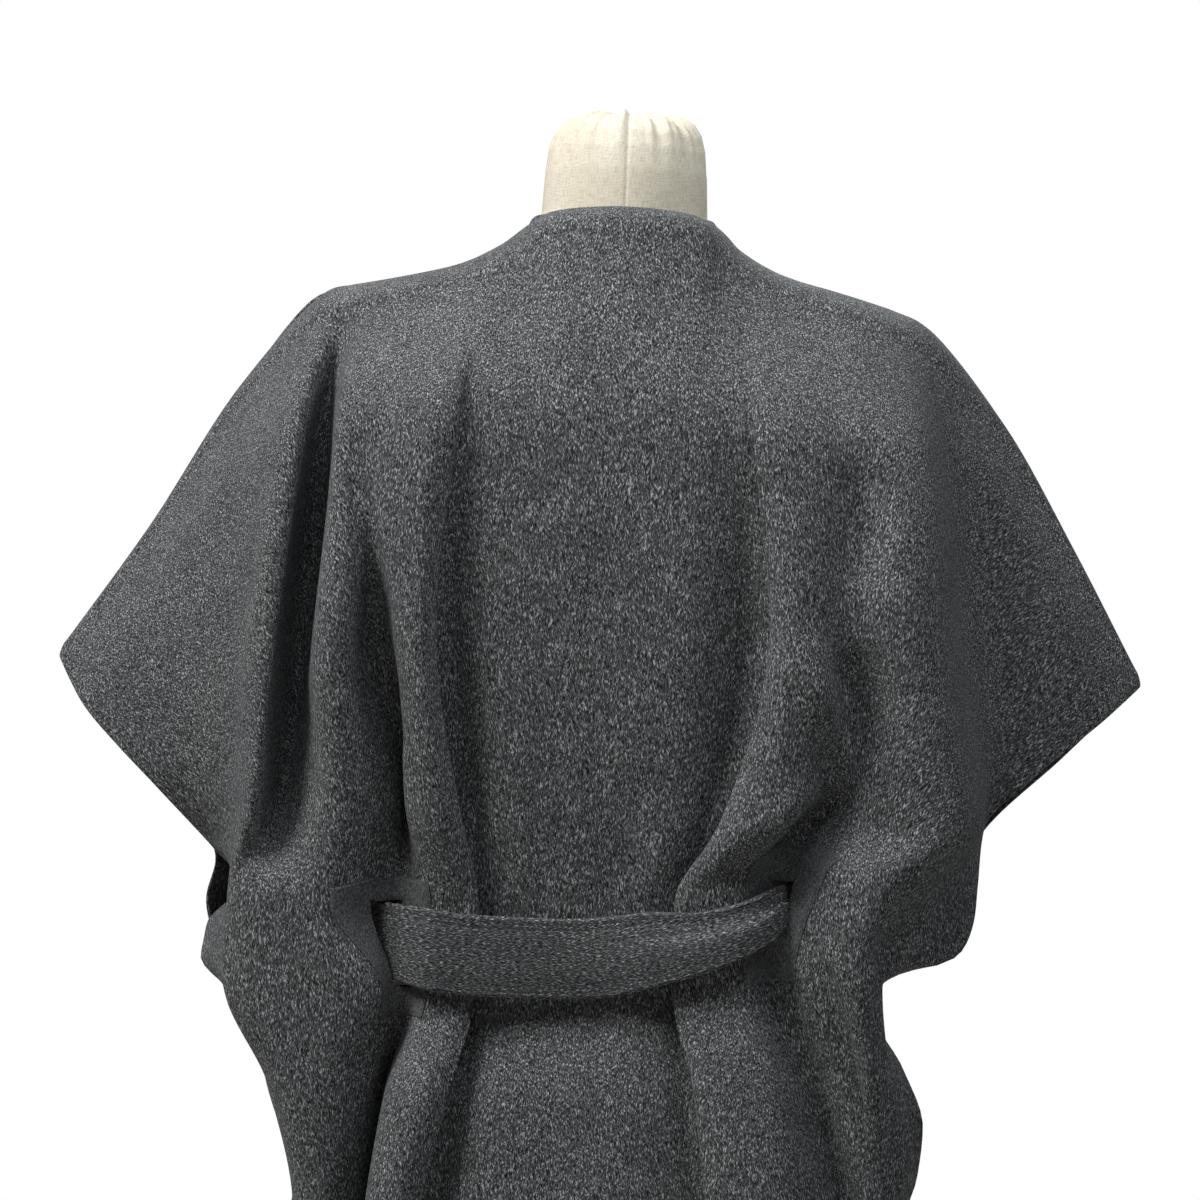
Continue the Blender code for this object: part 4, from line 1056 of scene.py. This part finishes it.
# Fine stitches a few millimetres inside the neck's edge, this far to each side and down this many rows
neck = {"reach": 0.0585, "row": 2.2, "stitch": (0.0026, 0.0019, 0.00045)}
count = backCloth.grid.shape[0]
neckColumns = [c for c in range(count) if abs(backCloth.grid[c, 0, 0]) < neck["reach"]]
neckLine = lineOn(backCloth, neckColumns, np.full(len(neckColumns), neck["row"]), coat["cloth"] / 2)
sew("neckStitches", [neckLine], woolThread, *neck["stitch"])
print("patches and neck stitched")

# The belt: two layers of cloth, turned in at the edges, stitched in rows along both edges
belt = {
    "step": 0.004,
    "thickness": 0.0046,
    "fullWidth": 0.05,
    "edgeRows": (0.0042, 0.0070),  # how far in each row of stitches runs at full width
    "groove": 0.0003,
    "grooveReach": 0.0009,
    "foldOut": 0.0042,
    "foldIn": 0.0013,
    "foldBetween": (0.05, 0.35),  # shares of the half width
    "between": (-0.2, 0.0, 0.12, 0.24, 0.36),
    "edgeTurn": 0.35,
    "edgeSteps": 5,
    "edgeThinning": 0.10,
    "leastSteps": 3,
    "tailSteps": 12,
    "stitch": (0.0030, 0.0022, 0.0005),
    "length": 0.88,
}


def foldShift(share, fold):
    # How far the lengthwise crease moves the band out, at a share of its half width
    turned = smoothStep(share, *belt["foldBetween"])
    return fold * (belt["foldOut"] * (1 - turned) - belt["foldIn"] * turned)


def bandProfile(width, thickness, fold):
    # (across, out) points round a flat band with soft round edges and a groove along each row of stitches
    half, r = width / 2, thickness / 2
    rows = [way * (half - inset * width / belt["fullWidth"]) for way in (-1, 1) for inset in belt["edgeRows"]]
    places = {-half + r, half - r} | {share * half for share in belt["between"]}
    for row in rows:
        places |= {row - belt["grooveReach"], row, row + belt["grooveReach"]}
    flat = []
    for x in sorted(places):
        dip = belt["groove"] if x in rows else 0.0
        thin = 1 - belt["edgeThinning"] * (2 * x / width) ** 6
        flat.append((x, r * thin - dip, float(foldShift(x / half, fold))))
    turns = np.linspace(belt["edgeTurn"], math.pi - belt["edgeTurn"], belt["edgeSteps"])
    right = [(half - r + r * math.sin(a), r * math.cos(a) + flat[-1][2]) for a in turns]
    left = [(-half + r - r * math.sin(a), -r * math.cos(a) + flat[0][2]) for a in turns]
    outer = [(x, out + shift) for x, out, shift in flat]
    inner = [(x, shift - out) for x, out, shift in reversed(flat)]
    return outer + right + inner + left


def sweepBand(name, line, upright, outwards, widths, folds, replaced):
    # A band along a line. upright is its width's direction and outwards its face's, at each point.
    rings, uv = [], []
    along = np.concatenate([[0], np.cumsum(np.linalg.norm(np.diff(line, axis=0), axis=1))])
    for k, centre in enumerate(line):
        profile = bandProfile(widths[k], belt["thickness"], folds[k])
        rings.append([centre + upright[k] * across + outwards[k] * out for across, out in profile])
        uv += [(across + (0.2 if out < 0 else 0), along[k]) for across, out in profile]
    sides = len(rings[0])
    vertices = np.array(rings).reshape(-1, 3).tolist()
    faces = []
    for k in range(len(line) - 1):
        for j in range(sides):
            a, b = k * sides + j, k * sides + (j + 1) % sides
            faces.append((a, b, b + sides, a + sides))
    for k, flip in ((0, True), (len(line) - 1, False)):
        ring = list(range(k * sides, (k + 1) * sides))
        vertices.append(line[k].tolist())
        uv.append((0, along[k]))
        middle = len(vertices) - 1
        for j in range(sides):
            a, b = ring[j], ring[(j + 1) % sides]
            faces.append((b, a, middle) if flip else (a, b, middle))
    if np.dot(np.cross(upright[0], outwards[0]), line[1] - line[0]) > 0:
        faces = [tuple(reversed(face)) for face in faces]
    piece = addPiece(name, vertices, faces, bandWool, uv, replaced)


def stitchBand(name, line, upright, outwards, width, folds):
    # Rows of stitches along both edges, on both faces
    rows = []
    for inset in belt["edgeRows"]:
        for way in (1, -1):
            reach = (width / 2 - inset * width / belt["fullWidth"]) * way
            shift = foldShift(reach / (width / 2), folds)
            for face in (1, -1):
                out = shift + face * (belt["thickness"] / 2 - belt["groove"] * 0.8)
                rows.append((line + upright * reach[:, None] + outwards * out[:, None], outwards * face))
    sew(name, rows, woolThread, *belt["stitch"])


def makeBelt():
    middles = [np.array([row.side, row.back, row.height + row.rise]) * mm for row in beltLine]
    lengths = [np.linalg.norm(b - a) for a, b in zip(middles, middles[1:])]
    steps = [max(belt["leastSteps"], math.ceil(length / belt["step"])) for length in lengths]

    def follow(sizes):
        return curveThrough([np.array([size], float) for size in sizes], steps)[:, 0]

    line = curveThrough(middles, steps)
    width = follow([(row.width - row.narrow) * mm for row in beltLine])
    tilt = follow([row.tilt / row.width for row in beltLine])
    lean = follow([row.lean / row.width for row in beltLine])
    folds = follow([row.fold for row in beltLine])
    upright = unit(np.stack([np.zeros(len(line)), tilt * 2, np.ones(len(line))], axis=1))
    along = unit(np.gradient(line, axis=0))
    outwards = unit(np.cross(along, upright))
    outwards *= np.sign((outwards[:, :2] * line[:, :2]).sum())
    upright = unit(np.cross(outwards, along))
    upright *= np.sign(upright[:, 2:])
    upright -= along * lean[:, None]
    sweepBand("beltBand", line, upright, outwards, width, folds, ["belt"])
    stitchBand("beltStitches", line, upright, outwards, width, folds)


makeBelt()


def makeTail(name, table, replaced):
    middles = [np.array([row.side, -row.front, row.height]) * mm for row in table]
    edges = [np.array([row.width, -row.turn, 0]) * mm for row in table]
    steps = [belt["tailSteps"]] * (len(table) - 1)
    line, spread = curveThrough(middles, steps), curveThrough(edges, steps)
    width = np.linalg.norm(spread, axis=1)
    upright = unit(spread)
    along = unit(np.gradient(line, axis=0))
    outwards = unit(np.cross(along, upright))
    outwards *= np.sign(-outwards[:, 1:2])
    folds = np.zeros(len(line))
    sweepBand(name, line, upright, outwards, width, folds, [replaced])
    stitchBand(name + "Stitches", line, upright, outwards, width, folds)


makeTail("leftTail", tailLeft, "belt_tail_left")
makeTail("rightTail", tailRight, "belt_tail_right")


# The knot's soft wraps: a rounded block, pinched at its waist, with slanting folds pressed into it
knot = {
    "place": (0.0, -0.1158, 0.945),
    "size": (0.046, 0.030, 0.058),
    "steps": 40,
    "roundness": 0.62,
    "pinch": 0.12,
    "wideFold": (0.05, 3.2, 1.6),  # depth, and how fast it runs up and across
    "fineFold": (0.035, 7, -2.2, 0.5),  # the same, and where it starts
    "pattern": (0.02, 0.012, 0.03),  # how the cloth's pattern runs round and up
}


def makeKnot():
    n = knot["steps"]
    around, slant, rise = knot["pattern"]
    vertices, faces, uv = [], [], []
    for i in range(n + 1):
        lift = -math.pi / 2 + math.pi * i / n
        for j in range(2 * n):
            turn = math.pi * j / n
            ball = (math.cos(lift) * math.cos(turn), math.cos(lift) * math.sin(turn), math.sin(lift))
            x, y, z = (math.copysign(abs(part) ** knot["roundness"], part) for part in ball)
            pinch = 1 - knot["pinch"] + knot["pinch"] * abs(z)
            depth, up, across = knot["wideFold"]
            size = 1 - depth * math.sin(up * z + across * x) ** 2
            depth, up, across, start = knot["fineFold"]
            size -= depth * math.sin(up * z + across * x + start)
            reach = (x * pinch * size, y * size, z)
            vertices.append([at + part * wide / 2 for at, part, wide in zip(knot["place"], reach, knot["size"])])
            uv.append((turn * around + z * slant, z * rise))
    for i in range(n):
        for j in range(2 * n):
            a, b = i * 2 * n + j, i * 2 * n + (j + 1) % (2 * n)
            faces.append((a, b, b + 2 * n, a + 2 * n))
    piece = addPiece("beltKnot", vertices, faces, bandWool, uv, ["belt_knot"])


makeKnot()
print("belt tied")

# The dress form: linen drawn over a padded body, gathered over the top of its neck
formBody = {
    "sides": 168,
    "rowStep": 0.006,
    "neckRowStep": 0.0022,
    "neckFrom": 1403,  # rows stand closer together from this height up
    "seamDepth": 0.0006,
    "seamWidth": 0.0011,
    "besideSeam": (0.010, 0.022, 0.036),  # columns stand closer together beside the seam down the back
    "seamFrom": 1400,
    "seamStitch": (0.0042, 0.0022, 0.00035),
    "gatherRise": 90,
    "leastPattern": 50,
    "gatherLow": 1440,  # the gathers deepen from this height to the top, in millimetres
    "gatherHigh": 1483,
    # each wave of the gathers: how many run round the neck, how deep and where it starts
    "gathers": ((9, 0.010, 0.4), (17, 0.011, 1.9), (29, 0.008, 3.1), (47, 0.004, 0.8)),
}


def makeForm():
    stations = [ring.height for ring in formRings]
    sizes = [(ring.halfWidth, ring.front, ring.back, ring.squareness) for ring in formRings]
    heights = []
    for low, high in zip(stations, stations[1:]):
        step = formBody["neckRowStep" if low >= formBody["neckFrom"] else "rowStep"]
        count = max(3, round((high - low) * mm / step))
        heights += np.linspace(low, high, count, endpoint=False).tolist()
    heights.append(stations[-1])
    besideSeam = [math.pi / 2 + side * place for side in (-1, 1) for place in formBody["besideSeam"]]
    angles = {round(2 * math.pi * k / formBody["sides"], 6) for k in range(formBody["sides"] + 1)}
    angles = np.array(sorted(angles | set(besideSeam)))
    sides = len(angles) - 1
    rings, uv = [], []
    for height in heights:
        halfWidth, front, back, squareness = (float(np.interp(height, stations, size)) for size in zip(*sizes))
        c, s = np.cos(angles), np.sin(angles)
        power = 2 / squareness
        x = halfWidth * np.sign(c) * np.abs(c) ** power
        y = np.where(s > 0, back, front) * np.sign(s) * np.abs(s) ** power
        seam = np.where(s > 0, np.exp(-((x * mm / formBody["seamWidth"]) ** 2)), 0)
        gather = smoothStep(height, formBody["gatherLow"], formBody["gatherHigh"])
        waves = sum(depth * np.sin(count * angles + start) for count, depth, start in formBody["gathers"])
        swell = 1 + gather * waves - seam * formBody["seamDepth"] / (back * mm)
        lift = gather * waves * formBody["gatherRise"]
        rings.append(np.stack([x * swell * mm, y * swell * mm, (height + lift) * mm], axis=1))
        uv += [(max(halfWidth, formBody["leastPattern"]) * mm * angle, height * mm) for angle in angles]
    vertices = np.concatenate(rings).tolist()
    faces = []
    for i in range(len(heights) - 1):
        for k in range(sides):
            a = i * (sides + 1) + k
            faces.append((a, a + 1, a + sides + 2, a + sides + 1))
    for i, flip in ((0, True), (len(heights) - 1, False)):
        vertices.append((0, 0, heights[i] * mm))
        uv.append((0, 0))
        for k in range(sides):
            a = i * (sides + 1) + k
            faces.append((a + 1, a, len(vertices) - 1) if flip else (a, a + 1, len(vertices) - 1))
    addPiece("formBody", vertices, faces, linenCloth, uv, ["form_body"])
    middle = int(np.argmin(np.abs(angles - math.pi / 2)))
    seamLine = [ring[middle] for ring, height in zip(rings, heights) if height > formBody["seamFrom"]]
    facingBack = [(0, 1, 0)] * len(seamLine)
    sew("neckSeam", [(seamLine, facingBack)], linenThread, *formBody["seamStitch"], "natural_linen")


makeForm()

# The stand keeps its CAD shapes
for name in ("form_post", "form_base"):
    node = bpy.data.objects[name]
    for slot in node.material_slots:
        slot.material = steel
print("form and stand made")

# Floor, light and camera
floorReach = 2.6
floorMesh = bpy.data.meshes.new("floor")
corners = [(x * floorReach, y * floorReach, 0) for x, y in ((-1, -1), (1, -1), (1, 1), (-1, 1))]
floorMesh.from_pydata(corners, [], [(0, 1, 2, 3)])
floorMesh.materials.append(Tree("paleFloor").finish({"Base Color": (0.86, 0.86, 0.85, 1), "Roughness": 0.9}))
floor = newObject("floor", floorMesh)

studio = {
    "ambient": 0.02,
    "backdrop": 1.0,
    # name: (place, aimed at, size, power, colour)
    "lamps": {
        "topLeft": ((1.6, 0.8, 3.0), (0.0, 0.0, 1.2), 1.0, 84, (1.0, 1.0, 1.0)),
        "topLeftBack": ((1.2, 1.8, 3.0), (0.0, 0.0, 1.2), 1.0, 5, (1.0, 1.0, 1.0)),
        "nearTop": ((0.05, 0.5, 2.15), (0.0, 0.0, 1.35), 0.7, 5.4, (0.90, 0.97, 1.0)),
        "nearRight": ((-0.75, 0.45, 2.1), (-0.1, 0.0, 1.35), 0.6, 6.2, (0.92, 0.97, 1.0)),
        "frontSoft": ((-0.6, -2.4, 2.4), (0.0, 0.0, 1.0), 1.8, 52, (1.0, 1.0, 1.0)),
    },
}
world = bpy.data.worlds.new("studio")
bpy.context.scene.world = world
world.use_nodes = True
worldNodes, worldLinks = world.node_tree.nodes, world.node_tree.links
sky = worldNodes["Background"]
sky.inputs["Color"].default_value = (1, 1, 1, 1)
sky.inputs["Strength"].default_value = studio["ambient"]
seen = worldNodes.new("ShaderNodeBackground")
seen.inputs["Color"].default_value = (1, 1, 1, 1)
seen.inputs["Strength"].default_value = studio["backdrop"]
rays = worldNodes.new("ShaderNodeLightPath")
choose = worldNodes.new("ShaderNodeMixShader")
worldLinks.new(rays.outputs["Is Camera Ray"], choose.inputs[0])
worldLinks.new(sky.outputs[0], choose.inputs[1])
worldLinks.new(seen.outputs[0], choose.inputs[2])
worldLinks.new(choose.outputs[0], worldNodes["World Output"].inputs["Surface"])

for name, (place, target, size, power, colour) in studio["lamps"].items():
    lamp = bpy.data.lights.new(name, "AREA")
    lamp.shape = "DISK"
    lamp.size = size
    lamp.energy = power
    lamp.color = colour
    holder = newObject(name, lamp)
    toward = Vector(target) - Vector(place)
    holder.matrix_world = Matrix.Translation(place) @ toward.to_track_quat("-Z", "Y").to_matrix().to_4x4()
    holder.visible_camera = False

view = {"place": (0.005, 2.1, 1.1716), "roll": 2.5, "frameWidth": 0.78, "sensor": 36.0}
cameraData = bpy.data.cameras.new("photoView")
cameraData.sensor_width = view["sensor"]
cameraData.lens = view["sensor"] * view["place"][1] / view["frameWidth"]
camera = newObject("photoView", cameraData)
camera.matrix_world = (
    Matrix.Translation(view["place"])
    @ Vector((0, -1, 0)).to_track_quat("-Z", "Y").to_matrix().to_4x4()
    @ Matrix.Rotation(math.radians(view["roll"]), 4, "Z")
)
bpy.context.scene.camera = camera
bpy.context.scene.view_settings.view_transform = "Standard"

print("scene ready")
